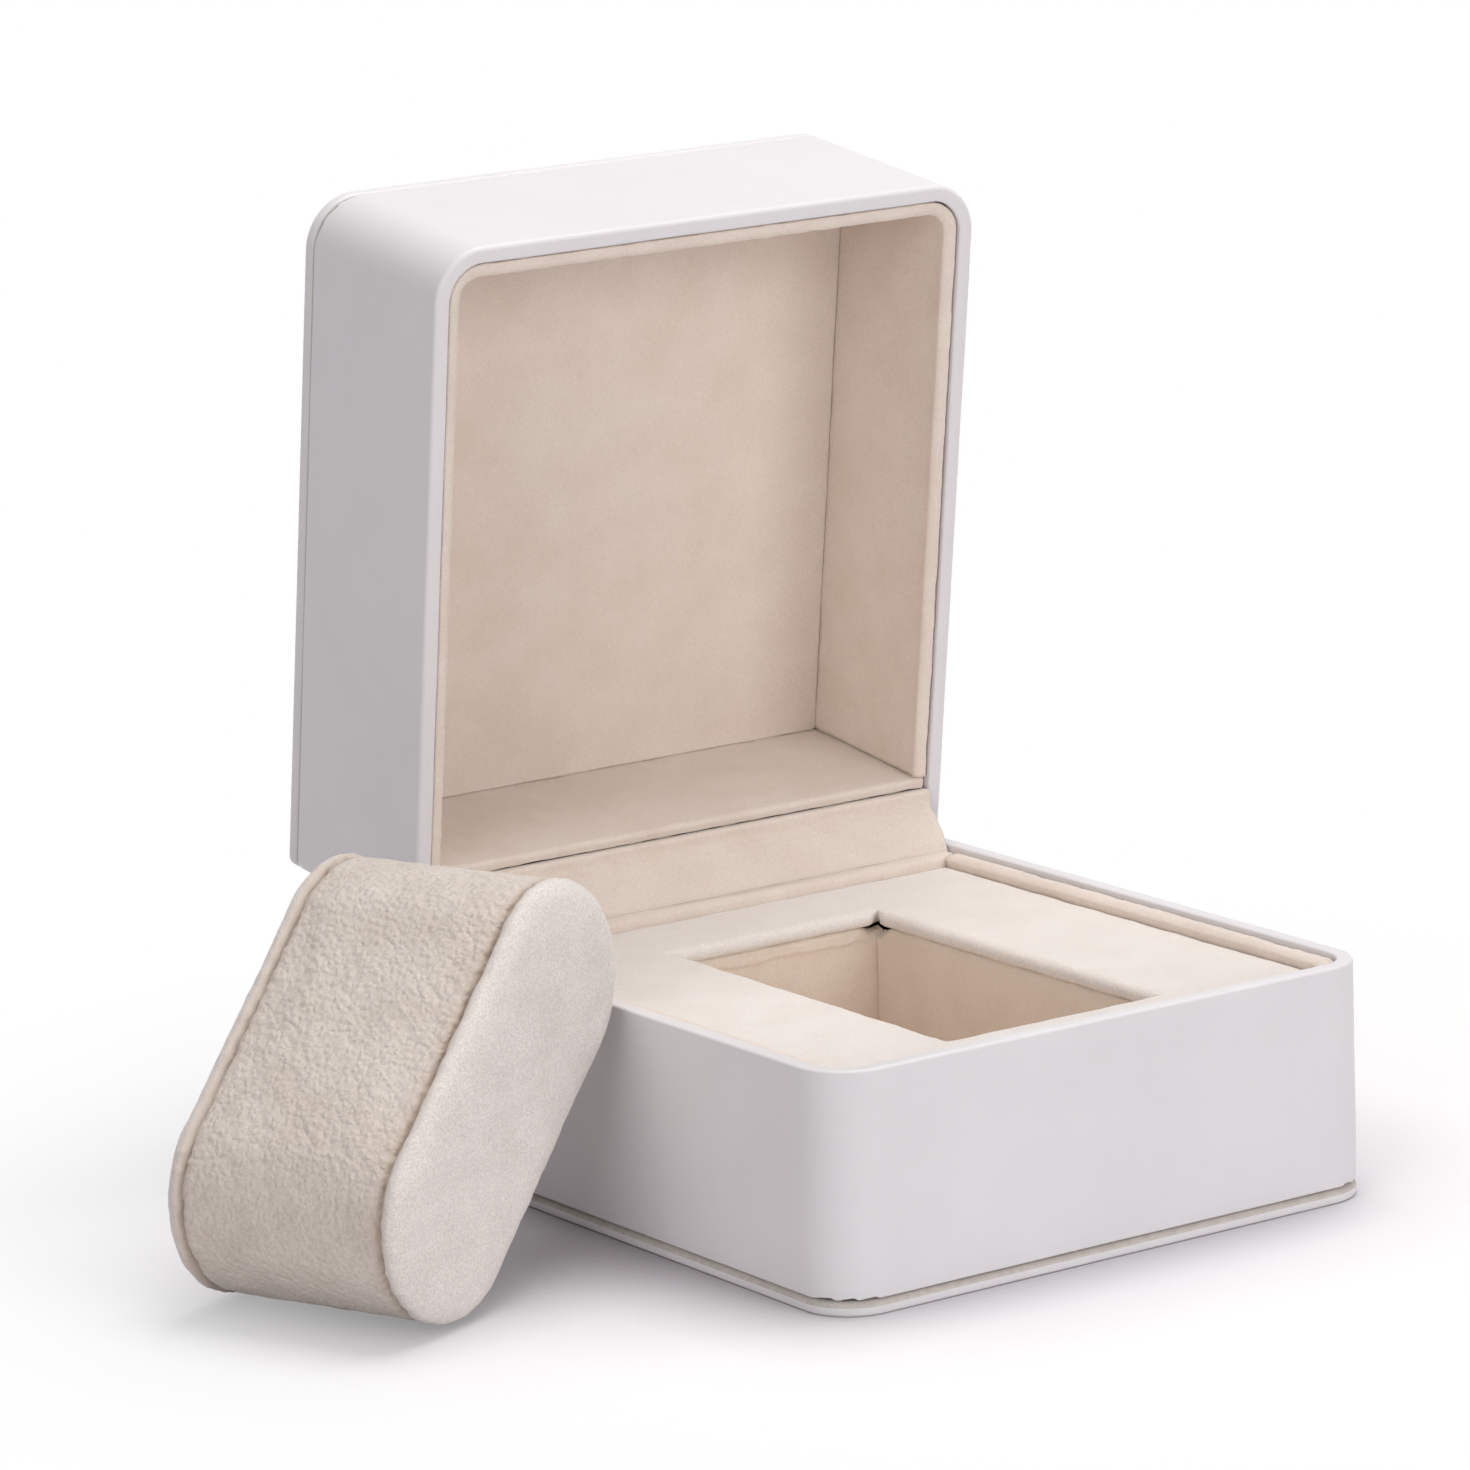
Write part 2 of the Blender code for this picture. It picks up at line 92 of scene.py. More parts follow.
def shutBox(node):
    return boxOf(node, lambda points: aboutHinge(points, openAngle))


pillowStand = {"lean": 47.0, "yaw": 22.9}     # degrees


def pillowAxes():
    # Columns: along the pillow, out of its broad side, and from its rear end to its front end
    lean, yaw = (math.radians(pillowStand[key]) for key in ("lean", "yaw"))
    along = (math.sin(lean) * math.cos(yaw), math.sin(lean) * math.sin(yaw), math.cos(lean))
    broad = (-math.cos(lean) * math.cos(yaw), -math.cos(lean) * math.sin(yaw), math.sin(lean))
    across = (math.sin(yaw), -math.cos(yaw), 0.0)
    return np.array([along, broad, across]).T


pillowTurn = pillowAxes()


def leanPillow(points):
    return points @ pillowTurn.T


def uprightBox(node):
    return boxOf(node, lambda points: points @ pillowTurn)


# Outlines, levels and meshes

def evenly(count):
    return np.linspace(0.0, 1.0, count + 2)[1:-1]


def roundedPath(corners, radii, arcSteps, runs, closed=True):
    # Straight runs joined by arcs. An arc's centre lies on the corner's bisector, radius/sin(half
    # angle) away, and its points turn evenly from the end of one run to the start of the next.
    corners = np.asarray(corners, float)
    count = len(corners)
    turn = np.linspace(0.0, 1.0, arcSteps + 1)[:, None]
    arcs = []
    for i, corner in enumerate(corners):
        if not closed and i in (0, count - 1):
            arcs.append(corner[None])
            continue
        back = corners[i - 1] - corner
        ahead = corners[(i + 1) % count] - corner
        back /= np.linalg.norm(back)
        ahead /= np.linalg.norm(ahead)
        half = 0.5 * math.acos(float(np.clip(back @ ahead, -1, 1)))
        bisector = (back + ahead) / np.linalg.norm(back + ahead)
        center = corner + bisector * radii[i] / math.sin(half)
        first = corner + back * radii[i] / math.tan(half) - center
        last = corner + ahead * radii[i] / math.tan(half) - center
        sweep = math.pi - 2 * half
        turned = first * np.sin((1 - turn) * sweep) + last * np.sin(turn * sweep)
        arcs.append(center + turned / math.sin(sweep))
    path = []
    for i, part in enumerate(arcs):
        path.append(part)
        if closed or i < count - 1:
            start, end = part[-1], arcs[(i + 1) % count][0]
            path.append(start + (end - start) * runs[i][:, None])
    return np.concatenate(path)


def rolledLevels(low, high, lowRoll, highRoll, sideSteps=4, arcSteps=8, inner=()):
    # A board from its underside to its top as (inset, height) pairs, a quarter round at each
    # edge. inner adds levels on the top face.
    turn = np.linspace(0.0, math.pi / 2, arcSteps + 1)
    under = np.column_stack([lowRoll * (1 - np.sin(turn)), low + lowRoll * (1 - np.cos(turn))])
    side = low + lowRoll + (high - highRoll - low - lowRoll) * evenly(sideSteps)
    over = np.column_stack([highRoll * (1 - np.cos(turn)), high - highRoll * (1 - np.sin(turn))])
    parts = [under, np.column_stack([np.zeros(sideSteps), side]), over]
    if len(inner):
        parts.append(np.asarray(inner, float))
    return np.concatenate(parts)


def stack(outlineAt, levels):
    # One outline for each level, at that level's inset and height
    rings = [outlineAt(inset) for inset, height in levels]
    return np.stack([np.column_stack([ring, np.full(len(ring), height)])
                     for ring, (inset, height) in zip(rings, levels)])


def skin(name, grid, closeLevels=False, closeRing=True):
    # Quads between neighbouring points of the grid, with the open ends filled
    levels, around = grid.shape[:2]
    index = np.arange(levels * around).reshape(levels, around)
    wide = np.hstack([index, index[:, :1]]) if closeRing else index
    tall = np.vstack([wide, wide[:1]]) if closeLevels else wide
    corners = [tall[:-1, :-1], tall[:-1, 1:], tall[1:, 1:], tall[1:, :-1]]
    faces = np.stack(corners, -1).reshape(-1, 4).tolist()
    if closeRing and not closeLevels:
        faces += [index[0, ::-1].tolist(), index[-1].tolist()]
    if closeLevels and not closeRing:
        faces += [index[::-1, 0].tolist(), index[:, -1].tolist()]
    mesh = bpy.data.meshes.new(name)
    mesh.from_pydata(grid.reshape(-1, 3).tolist(), [], faces)
    edit = bmesh.new()
    edit.from_mesh(mesh)
    bmesh.ops.remove_doubles(edit, verts=edit.verts, dist=0.002 * mm)
    bmesh.ops.recalc_face_normals(edit, faces=edit.faces)
    edit.to_mesh(mesh)
    edit.free()
    mesh.shade_smooth()
    obj = bpy.data.objects.new(name, mesh)
    bpy.context.scene.collection.objects.link(obj)
    return obj


def waves(points, length, seed, count=9):
    # Smooth noise from about -1 to 1: count sine waves of many directions, phases and near lengths
    draw = np.random.default_rng(seed)
    ways = draw.normal(size=(count, points.shape[-1]))
    ways /= np.linalg.norm(ways, axis=1)[:, None]
    ways *= 2 * math.pi / (length * draw.uniform(0.6, 1.7, count))[:, None]
    return np.sin(points @ ways.T + draw.uniform(0, 2 * math.pi, count)).sum(-1) / math.sqrt(2 * count)


def setPoints(obj, points):
    obj.data.vertices.foreach_set("co", points.astype(np.float32).ravel())
    obj.data.update()


def swell(obj, amount):
    # Moves each point along its normal by amount(points)
    points = meshPoints(obj)
    normals = np.empty(points.size)
    obj.data.vertex_normals.foreach_get("vector", normals)
    setPoints(obj, points + normals.reshape(-1, 3) * amount(points)[:, None])


def near(value, center, width):
    return np.exp(-((value - center) / width) ** 2)


def finishPiece(obj, material, body, node, place=asIs):
    setPoints(obj, place(meshPoints(obj)))
    if not obj.data.materials:
        obj.data.materials.append(material)
    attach(obj, body)
    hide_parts(node)
    return obj


# Finishes

def linear(hexText):
    # sRGB hex to linear: x/12.92 below 0.04045, else ((x + 0.055)/1.055)^2.4
    srgb = np.array([int(hexText[i:i + 2], 16) for i in (1, 3, 5)]) / 255
    low, high = srgb / 12.92, ((srgb + 0.055) / 1.055) ** 2.4
    return (*np.where(srgb <= 0.04045, low, high).tolist(), 1.0)


def addNode(tree, kind, settings=None, links=None):
    node = tree.nodes.new("ShaderNode" + kind)
    for key, value in (settings or {}).items():
        if isinstance(key, int) or key in node.inputs:
            node.inputs[key].default_value = value
        else:
            setattr(node, key, value)
    for key, source in (links or {}).items():
        tree.links.new(source, node.inputs[key])
    return node


def newMaterial(name, settings):
    material = bpy.data.materials.new(name)
    material.use_nodes = True
    tree = material.node_tree
    shader = tree.nodes["Principled BSDF"]
    for key, value in settings.items():
        shader.inputs[key].default_value = value
    position = addNode(tree, "TexCoord").outputs["Object"]
    return material, tree, shader, position


def mottle(tree, position, size, colors, spread=(0.35, 0.65)):
    # Two close colours mixed by soft noise, size is the blotch in metres
    blotch = addNode(tree, "TexNoise", {"Scale": 1 / size, "Detail": 3.0, "Roughness": 0.55},
                     {"Vector": position})
    share = addNode(tree, "MapRange", {"From Min": spread[0], "From Max": spread[1]},
                    {"Value": blotch.outputs["Fac"]})
    mixed = addNode(tree, "Mix", {"data_type": "RGBA", 6: linear(colors[0]), 7: linear(colors[1])},
                    {0: share.outputs["Result"]})
    return mixed.outputs[2]


# Polyurethane leatherette, calendered almost smooth and glued over board: an even satin white.
# Its grain is 0.5 mm across and hardly raised.
def smoothLeatherette():
    material, tree, shader, position = newMaterial("smoothLeatherette", {
        "Roughness": 0.42, "IOR": 1.5, "Specular IOR Level": 0.35,
        "Coat Weight": 0.05, "Coat Roughness": 0.25})
    tone = mottle(tree, position, 18 * mm, ("#E4E1E3", "#E1DEE0"))
    tree.links.new(tone, shader.inputs["Base Color"])
    cells = addNode(tree, "TexVoronoi", {"Scale": 1 / (0.5 * mm), "feature": "SMOOTH_F1"},
                    {"Vector": position})
    drift = addNode(tree, "TexNoise", {"Scale": 1 / (7 * mm), "Detail": 2.0}, {"Vector": position})
    grain = addNode(tree, "Bump", {"Strength": 0.10, "Distance": 0.03 * mm},
                    {"Height": cells.outputs["Distance"]})
    soft = addNode(tree, "Bump", {"Strength": 0.25, "Distance": 0.12 * mm},
                   {"Height": drift.outputs["Fac"], "Normal": grain.outputs["Normal"]})
    tree.links.new(soft.outputs["Normal"], shader.inputs["Normal"])
    return material


# Microfibre suede: a woven back with a short brushed nap, so it has no gloss and a pale sheen
# at grazing angles. The nap is drawn 0.35 mm across, coarser than the fibres, so that it shows.
def napSuede(name, colors, nap=0.35 * mm, napDepth=0.10 * mm, pebble=1.1 * mm, pebbleDepth=0.05 * mm,
             sheen=0.35, flecks=(0.90, 1.06), seamShadeColor=None):
    material, tree, shader, position = newMaterial(name, {
        "Roughness": 0.95, "IOR": 1.45, "Specular IOR Level": 0.25,
        "Sheen Weight": sheen, "Sheen Roughness": 0.35, "Sheen Tint": linear("#FFFDFB")})
    tone = mottle(tree, position, 9 * mm, colors)
    fibres = addNode(tree, "TexNoise", {"Scale": 1 / nap, "Detail": 4.0, "Roughness": 0.65},
                     {"Vector": position})
    fleckRange = {"From Min": 0.35, "From Max": 0.65, "To Min": flecks[0], "To Max": flecks[1]}
    shade = addNode(tree, "MapRange", fleckRange, {"Value": fibres.outputs["Fac"]})
    flecked = addNode(tree, "Mix", {"data_type": "RGBA", "blend_type": "MULTIPLY", 0: 1.0},
                      {6: tone, 7: shade.outputs["Result"]})
    color = flecked.outputs[2]
    if seamShadeColor:
        # Painted shade: the colour turns darker beside a seam, where the mesh's own seam value is near 1
        beside = addNode(tree, "Attribute", {"attribute_name": "seam"})
        paintedSeamShade = addNode(tree, "Mix", {"data_type": "RGBA", 7: linear(seamShadeColor)},
                         {0: beside.outputs["Fac"], 6: color})
        color = paintedSeamShade.outputs[2]
    tree.links.new(color, shader.inputs["Base Color"])
    wander = addNode(tree, "TexNoise", {"Scale": 1 / (2.5 * pebble), "Detail": 2.0}, {"Vector": position})
    shifted = addNode(tree, "VectorMath", {"operation": "MULTIPLY_ADD", 1: (pebble * 1.6,) * 3},
                      {0: wander.outputs["Color"], 2: position})
    lumps = addNode(tree, "TexVoronoi", {"Scale": 1 / pebble, "feature": "SMOOTH_F1", "Smoothness": 0.6},
                    {"Vector": shifted.outputs["Vector"]})
    brushed = addNode(tree, "Bump", {"Strength": 0.55, "Distance": napDepth},
                      {"Height": fibres.outputs["Fac"]})
    pebbled = addNode(tree, "Bump", {"Strength": 0.8, "Distance": pebbleDepth, "invert": True},
                      {"Height": lumps.outputs["Distance"], "Normal": brushed.outputs["Normal"]})
    tree.links.new(pebbled.outputs["Normal"], shader.inputs["Normal"])
    return material


# Painted shade: a pale tan tone with a fine woven bump, on the rolled panel edge in the shaded groove
# under a wall
def paintedGrooveShade():
    material, tree, shader, position = newMaterial("paintedGrooveShade", {"Roughness": 0.8, "IOR": 1.45})
    tone = mottle(tree, position, 1.5 * mm, ("#CEC7C0", "#C1BAB2"))
    tree.links.new(tone, shader.inputs["Base Color"])
    threads = addNode(tree, "TexNoise", {"Scale": 1 / (0.3 * mm), "Detail": 2.0}, {"Vector": position})
    rough = addNode(tree, "Bump", {"Strength": 0.3, "Distance": 0.05 * mm},
                    {"Height": threads.outputs["Fac"]})
    tree.links.new(rough.outputs["Normal"], shader.inputs["Normal"])
    return material


# Medium density fibreboard, sawn and left bare: matt brown with fine darker fibre clumps
def bareFibreboard():
    material, tree, shader, position = newMaterial("bareFibreboard", {"Roughness": 0.85, "IOR": 1.45})
    tone = mottle(tree, position, 0.8 * mm, ("#9A7A58", "#7F6245"), (0.3, 0.7))
    tree.links.new(tone, shader.inputs["Base Color"])
    clumps = addNode(tree, "TexNoise", {"Scale": 1 / (0.5 * mm), "Detail": 5.0}, {"Vector": position})
    rough = addNode(tree, "Bump", {"Strength": 0.4, "Distance": 0.08 * mm},
                    {"Height": clumps.outputs["Fac"]})
    tree.links.new(rough.outputs["Normal"], shader.inputs["Normal"])
    return material


# Nickel plated spring steel, pressed from strip: bright, with fine rolling lines along the leaf
def platedSteel():
    material, tree, shader, position = newMaterial("platedSpringSteel", {
        "Metallic": 1.0, "Roughness": 0.28})
    lines = addNode(tree, "Mapping", {"Scale": (1 / (6 * mm), 1 / (0.15 * mm), 1 / (0.15 * mm))},
                    {"Vector": position})
    rolling = addNode(tree, "TexNoise", {"Scale": 1.0, "Detail": 3.0}, {"Vector": lines.outputs["Vector"]})
    tone = addNode(tree, "Mix", {"data_type": "RGBA", 6: linear("#B9B8B4"), 7: linear("#CFCEC9")},
                   {0: rolling.outputs["Fac"]})
    tree.links.new(tone.outputs[2], shader.inputs["Base Color"])
    scratch = addNode(tree, "Bump", {"Strength": 0.2, "Distance": 0.01 * mm},
                      {"Height": rolling.outputs["Fac"]})
    tree.links.new(scratch.outputs["Normal"], shader.inputs["Normal"])
    return material


leatherette = smoothLeatherette()
liningSuede = napSuede("liningSuede", ("#E9DCD1", "#E4D6CA"), sheen=0.7, flecks=(0.94, 1.04))
# Painted light: the well's suede is the lining's fabric painted lighter, standing for warm light bounced
# into the deep well
wellSuedePaintedLight = napSuede("wellSuedePaintedLight", ("#EDDFD1", "#E8D9CA"), sheen=0.6, flecks=(0.94, 1.04))
# Painted light: the deck's suede is the lining's fabric painted paler, for the deck's brighter, whiter lit
# top
deckSuedePaintedLight = napSuede("deckSuedePaintedLight", ("#EEE7E1", "#EAE2DB"), sheen=0.8)
# Both pillow finishes are given painted shade beside their seams
pillowSuede = napSuede("pillowEndSuede", ("#EBE5DF", "#E5DED8"), napDepth=0.16 * mm, pebbleDepth=0.06 * mm,
                       flecks=(0.81, 1.09), seamShadeColor="#D3C6BA")
# The band's darker tone is partly its own colour and partly painted shade, standing for the self-shadowing
# among its pebbles
bandSuede = napSuede("pillowBandSuede", ("#E0D5CB", "#D7CBC0"), pebble=1.05 * mm, pebbleDepth=0.45 * mm,
                     flecks=(0.87, 1.06), seamShadeColor="#CBBDB0")
grooveShadeFinish = paintedGrooveShade()
fibreboard = bareFibreboard()
springSteel = platedSteel()
print("materials made")


# Shell: wall rings with their rims, and the panels that close them

baseLow, baseHigh = boxOf("base_wall")
baseLinerHigh = boxOf("base_liner")[1]
shell = {
    "half": baseHigh[0], "front": baseLow[1], "back": baseHigh[1],
    "wall": baseHigh[0] - baseLinerHigh[0] - fitGap,
    "frontCorner": 8.8 * mm, "backCorner": 2.0 * mm, "tightCorner": 0.5 * mm,
    "baseRimRoll": 0.5 * mm, "lidRimRoll": 0.8 * mm, "rimInnerRoll": 0.35 * mm, "hiddenRoll": 0.3 * mm,
    "cornerSteps": 40, "sideSteps": 56,
    # Notches for the two hinges: width, how far below and above the hinge line, eased sides
    "hingeWidth": 14.6 * mm, "hingeDepth": 2.5 * mm, "hingeHeight": 1.8 * mm, "notchEase": 0.5 * mm,
    "hingeCenter": float(boxOf("hinge_pin_right")[0][0] + boxOf("hinge_pin_right")[1][0]) / 2,
    "ripple": 0.035 * mm, "rippleLength": 22 * mm,
    # Cuts in the wrap round a front corner: degrees from the side, half width in degrees, lift
    "pleats": ((25, 9.5, 0.26 * mm), (51, 7.5, 0.28 * mm), (73, 8, 0.24 * mm)),
    "pleatDepth": 1.0 * mm,
    # Panels: edge rolls, how far in the inner rings lie in mm, height of the painted groove shade
    "grooveRoll": 1.1 * mm, "panelRoll": 0.6 * mm, "panelRings": (2, 4, 8, 14, 22, 30, 38, 45),
    "baseShadeHeight": 0.8 * mm, "lidShadeHeight": 0.35 * mm,
}


def caseOutline(inset, back=None, backRun=None):
    side = shell["half"] - inset
    front = shell["front"] + inset
    back = shell["back"] - inset if back is None else back
    frontRadius = max(shell["frontCorner"] - inset, shell["tightCorner"])
    backRadius = max(shell["backCorner"] - inset, shell["tightCorner"])
    run = evenly(shell["sideSteps"])
    corners = [(side, front), (side, back), (-side, back), (-side, front)]
    return roundedPath(corners, [frontRadius, backRadius, backRadius, frontRadius], shell["cornerSteps"],
                       [run, run if backRun is None else backRun, run, run])


def notchedRun():
    # Fractions of the back run, crowded at the ends of each hinge notch
    half = shell["half"] - shell["backCorner"]
    edges = [side * shell["hingeCenter"] + end * shell["hingeWidth"] / 2
             for side in (-1, 1) for end in (-1, 1)]
    steps = np.linspace(-1.2, 1.2, 9) * shell["notchEase"]
    spots = np.concatenate([np.linspace(-half, half, 70)[1:-1]] + [edge + steps for edge in edges])
    return np.sort(0.5 - spots / (2 * half))


def rimHeight(points, rim, bottom):
    # The rim steps down to the bottom of the hinge notch near each hinge, with eased sides
    away = np.abs(np.abs(points[..., 0]) - shell["hingeCenter"]) - shell["hingeWidth"] / 2
    ease = np.clip(away / shell["notchEase"] + 0.5, 0, 1)
    ease = ease * ease * (3 - 2 * ease)
    behind = points[..., 1] > shell["back"] - shell["wall"] - 1 * mm
    return np.where(behind, bottom + (rim - bottom) * ease, rim)


def wallRing(name, low, high, notchBottom, rimUp, rimRoll):
    # A wall's section, carried round the case. rimUp says which end is the rim.
    wall = shell["wall"]
    rim, foot = (high, low) if rimUp else (low, high)
    section = roundedPath([(0, foot), (0, rim), (wall, rim), (wall, foot)],
                          [shell["hiddenRoll"], rimRoll, shell["rimInnerRoll"], shell["hiddenRoll"]],
                          8, [evenly(14), evenly(4), evenly(10), evenly(2)])
    run = notchedRun()
    grid = stack(lambda inset: caseOutline(inset, backRun=run), section)
    height = rimHeight(grid, rim, notchBottom)
    grid[..., 2] = foot + (grid[..., 2] - foot) * (height - foot) / (rim - foot)
    ring = skin(name, grid, closeLevels=True)
    swell(ring, lambda points: shell["ripple"] * waves(points, shell["rippleLength"], 3))
    points = meshPoints(ring)
    depth = np.clip(1 - np.abs(points[:, 2] - foot) / shell["pleatDepth"], 0, 1)
    points[:, 2] += math.copysign(1, rim - foot) * pleatLift(points) * depth
    setPoints(ring, points)
    return ring


def pleatLift(points):
    # The wrap's lower edge rises at each cut, more towards the front:
    # lift (1 + t/2) / (1 + t^12), with t the angle over the half width
    radius = shell["frontCorner"]
    across = np.abs(points[:, 0]) - (shell["half"] - radius)
    ahead = shell["front"] + radius - points[:, 1]
    angle = np.degrees(np.arctan2(ahead, across)) * np.where(points[:, 0] < 0, 1.0, 1.04)
    onCorner = (across > 0) & (ahead > 0)
    total = 0
    for at, wide, lift in shell["pleats"]:
        t = (angle - at) / wide
        total = total + lift * (1 + 0.5 * np.clip(t, -1, 1)) / (1 + t ** 12)
    return onCorner * total


def closingPanel(name, low, high, outerIsHigh, shadeHeight):
    # A flat panel, rolled more on its groove side, where its faces nearest the groove get painted shade
    rolls = (shell["grooveRoll"], shell["panelRoll"])
    levels = rolledLevels(low, high, *(rolls if outerIsHigh else rolls[::-1]), sideSteps=1)
    depth = np.array(shell["panelRings"]) * mm
    top = np.column_stack([depth, np.full(len(depth), high)])
    bottom = np.column_stack([depth[::-1], np.full(len(depth), low)])
    piece = skin(name, stack(caseOutline, np.concatenate([bottom, levels, top])))
    piece.data.materials.append(leatherette)
    piece.data.materials.append(grooveShadeFinish)
    # Faces within that height of the groove take the second finish, the painted groove shade
    for face in piece.data.polygons:
        fromGroove = face.center.z - low if outerIsHigh else high - face.center.z
        face.material_index = int(fromGroove < shadeHeight)
    return piece


baseWall = wallRing("baseWallWrap", baseLow[2], baseHigh[2], hingePoint[2] - shell["hingeDepth"], True,
                    shell["baseRimRoll"])
finishPiece(baseWall, leatherette, "base", "base_wall")
panelLow, panelHigh = boxOf("base_bottom_panel")
basePanel = closingPanel("baseBottomWrap", panelLow[2], panelHigh[2], False, shell["baseShadeHeight"])
finishPiece(basePanel, leatherette, "base", "base_bottom_panel")
lidLow, lidHigh = shutBox("lid_wall")
lidWall = wallRing("lidWallWrap", lidLow[2], lidHigh[2], hingePoint[2] + shell["hingeHeight"], False,
                   shell["lidRimRoll"])
finishPiece(lidWall, leatherette, "lid", "lid_wall", openLid)
topLow, topHigh = shutBox("lid_top_panel")
lidPanel = closingPanel("lidTopWrap", topLow[2], topHigh[2], True, shell["lidShadeHeight"])
finishPiece(lidPanel, leatherette, "lid", "lid_top_panel", openLid)
print("shell made")


# Suede linings: a U round the sides and front, and a straight board at the hinge side

lining = {
    "cornerSteps": 24, "sideSteps": 130, "lump": 0.08 * mm, "lumpLength": 5 * mm,
    "nub": 0.045 * mm, "nubLength": 1.6 * mm,
    "rimRoll": 0.40 * mm, "innerRoll": 0.95 * mm, "raise": 0.3 * mm,
    "bead": 0.35 * mm, "beadDepth": 0.9 * mm, "beadWidth": 0.8 * mm,
    # Straight boards: points along and across, share of the thickness rolled at the free edge
    "alongSteps": 120, "acrossSteps": 3, "freeRoll": 0.46, "hiddenRoll": 0.2 * mm,
}


def unevenSuede(points, seed):
    # Hand glued over foam, so it is a little lumpy at two sizes
    return (lining["lump"] * waves(points, lining["lumpLength"], seed)
            + lining["nub"] * waves(points, lining["nubLength"], seed + 100))


def uOutline(inset, armEnd):
    side = shell["half"] - inset
    front = shell["front"] + inset
    radius = max(shell["frontCorner"] - inset, shell["tightCorner"])
    run = evenly(lining["sideSteps"])
    return roundedPath([(-side, armEnd), (-side, front), (side, front), (side, armEnd)],
                       [0, radius, radius, 0], lining["cornerSteps"], [run] * 4, closed=False)


def uLining(name, node, body, rimUp, box, place, thickness):
    low, high = box
    outer = shell["half"] - high[0]
    inner = outer + thickness
    rim, foot = (high[2], low[2]) if rimUp else (low[2] - lining["raise"], high[2])
    hiddenRoll = lining["hiddenRoll"]
    section = roundedPath([(outer, foot), (outer, rim), (inner, rim), (inner, foot)],
                          [hiddenRoll, lining["rimRoll"], lining["innerRoll"], hiddenRoll], 10,
                          [evenly(6), evenly(2), evenly(40), evenly(1)])
    # The stuffed bead along the rim bulges inwards below it
    inside = np.clip((section[:, 0] - outer) / thickness * 2 - 1, 0, 1)
    bulge = near(np.abs(section[:, 1] - rim), lining["beadDepth"], lining["beadWidth"])
    section[:, 0] += lining["bead"] * inside * bulge
    grid = stack(lambda inset: uOutline(inset, high[1]), section)
    piece = skin(name, grid, closeLevels=True, closeRing=False)
    swell(piece, lambda points: unevenSuede(points, 11))
    return finishPiece(piece, liningSuede, body, node, place)


def straightBoard(name, node, body, box, place, rimUp, material, thick=1, edgeShare=0.35, backShare=1.0,
                  seed=21, upSteps=40, shape=None):
    # A board wrapped in suede, its free edge rolled. thick says along which of x, y it is thin,
    # and backShare how much its far side rolls. shape(points) moves the finished points.
    low, high = box
    thickness = (high - low)[thick]
    corners = [(low[0], low[1]), (high[0], low[1]), (high[0], high[1]), (low[0], high[1])]
    middle = (low + high) / 2
    longRun, shortRun = evenly(lining["alongSteps"]), evenly(lining["acrossSteps"])
    runs = [longRun, shortRun] * 2 if thick == 1 else [shortRun, longRun] * 2

    def outlineAt(inset):
        moved = [(x + math.copysign(inset, middle[0] - x),
                  y + math.copysign(inset, middle[1] - y) * (backShare if y > middle[1] else 1))
                 for x, y in corners]
        return roundedPath(moved, [max(thickness * edgeShare - inset, 0.1 * mm)] * 4, 5, runs)

    rolls = (lining["hiddenRoll"], thickness * lining["freeRoll"])
    levels = rolledLevels(low[2], high[2], *(rolls if rimUp else rolls[::-1]), sideSteps=upSteps)
    grid = stack(outlineAt, levels)
    piece = skin(name, grid)
    swell(piece, lambda points: unevenSuede(points, seed))
    if shape:
        setPoints(piece, shape(meshPoints(piece)))
    return finishPiece(piece, material, body, node, place)


baseBackBox, lidBackBox = boxOf("base_back_liner"), shutBox("lid_back_liner")
uLining("baseSideLining", "base_liner", "base", True, boxOf("base_liner"), asIs,
        baseBackBox[1][1] - baseBackBox[0][1])
uLining("lidSideLining", "lid_liner", "lid", False, shutBox("lid_liner"), openLid,
        lidBackBox[1][1] - lidBackBox[0][1])
straightBoard("baseBackLining", "base_back_liner", "base", baseBackBox, asIs, True, liningSuede,
              backShare=0.25)
straightBoard("lidBackLining", "lid_back_liner", "lid", lidBackBox, openLid, False, liningSuede,
              backShare=0.3)
print("linings made")


# Deck with its window, the well under it and the lid's ceiling

deck = {
    "reach": 0.2 * mm,                          # towards the linings
    "outerRoll": 0.6 * mm, "windowRoll": 1.6 * mm, "underRoll": 0.9 * mm, "footRoll": 0.2 * mm,
    "cornerSteps": 16, "sideSteps": 110, "topSteps": 22, "underSteps": 5,
    "sharpCorner": 0.4 * mm, "windowCorner": 0.3 * mm, "cornerGrowth": 0.6,
    # Cuts at the window's corners: reach and half width underneath, and how they close
    "cutReach": 2.3 * mm, "cutWidth": 1.0 * mm, "cutTip": 0.25, "cutSteepness": 1.25,
    "cutStart": -0.5 * mm, "cutHold": 1.5 * mm, "cutFade": 4 * mm,
    "lump": 0.07 * mm, "lumpLength": 6 * mm,
}


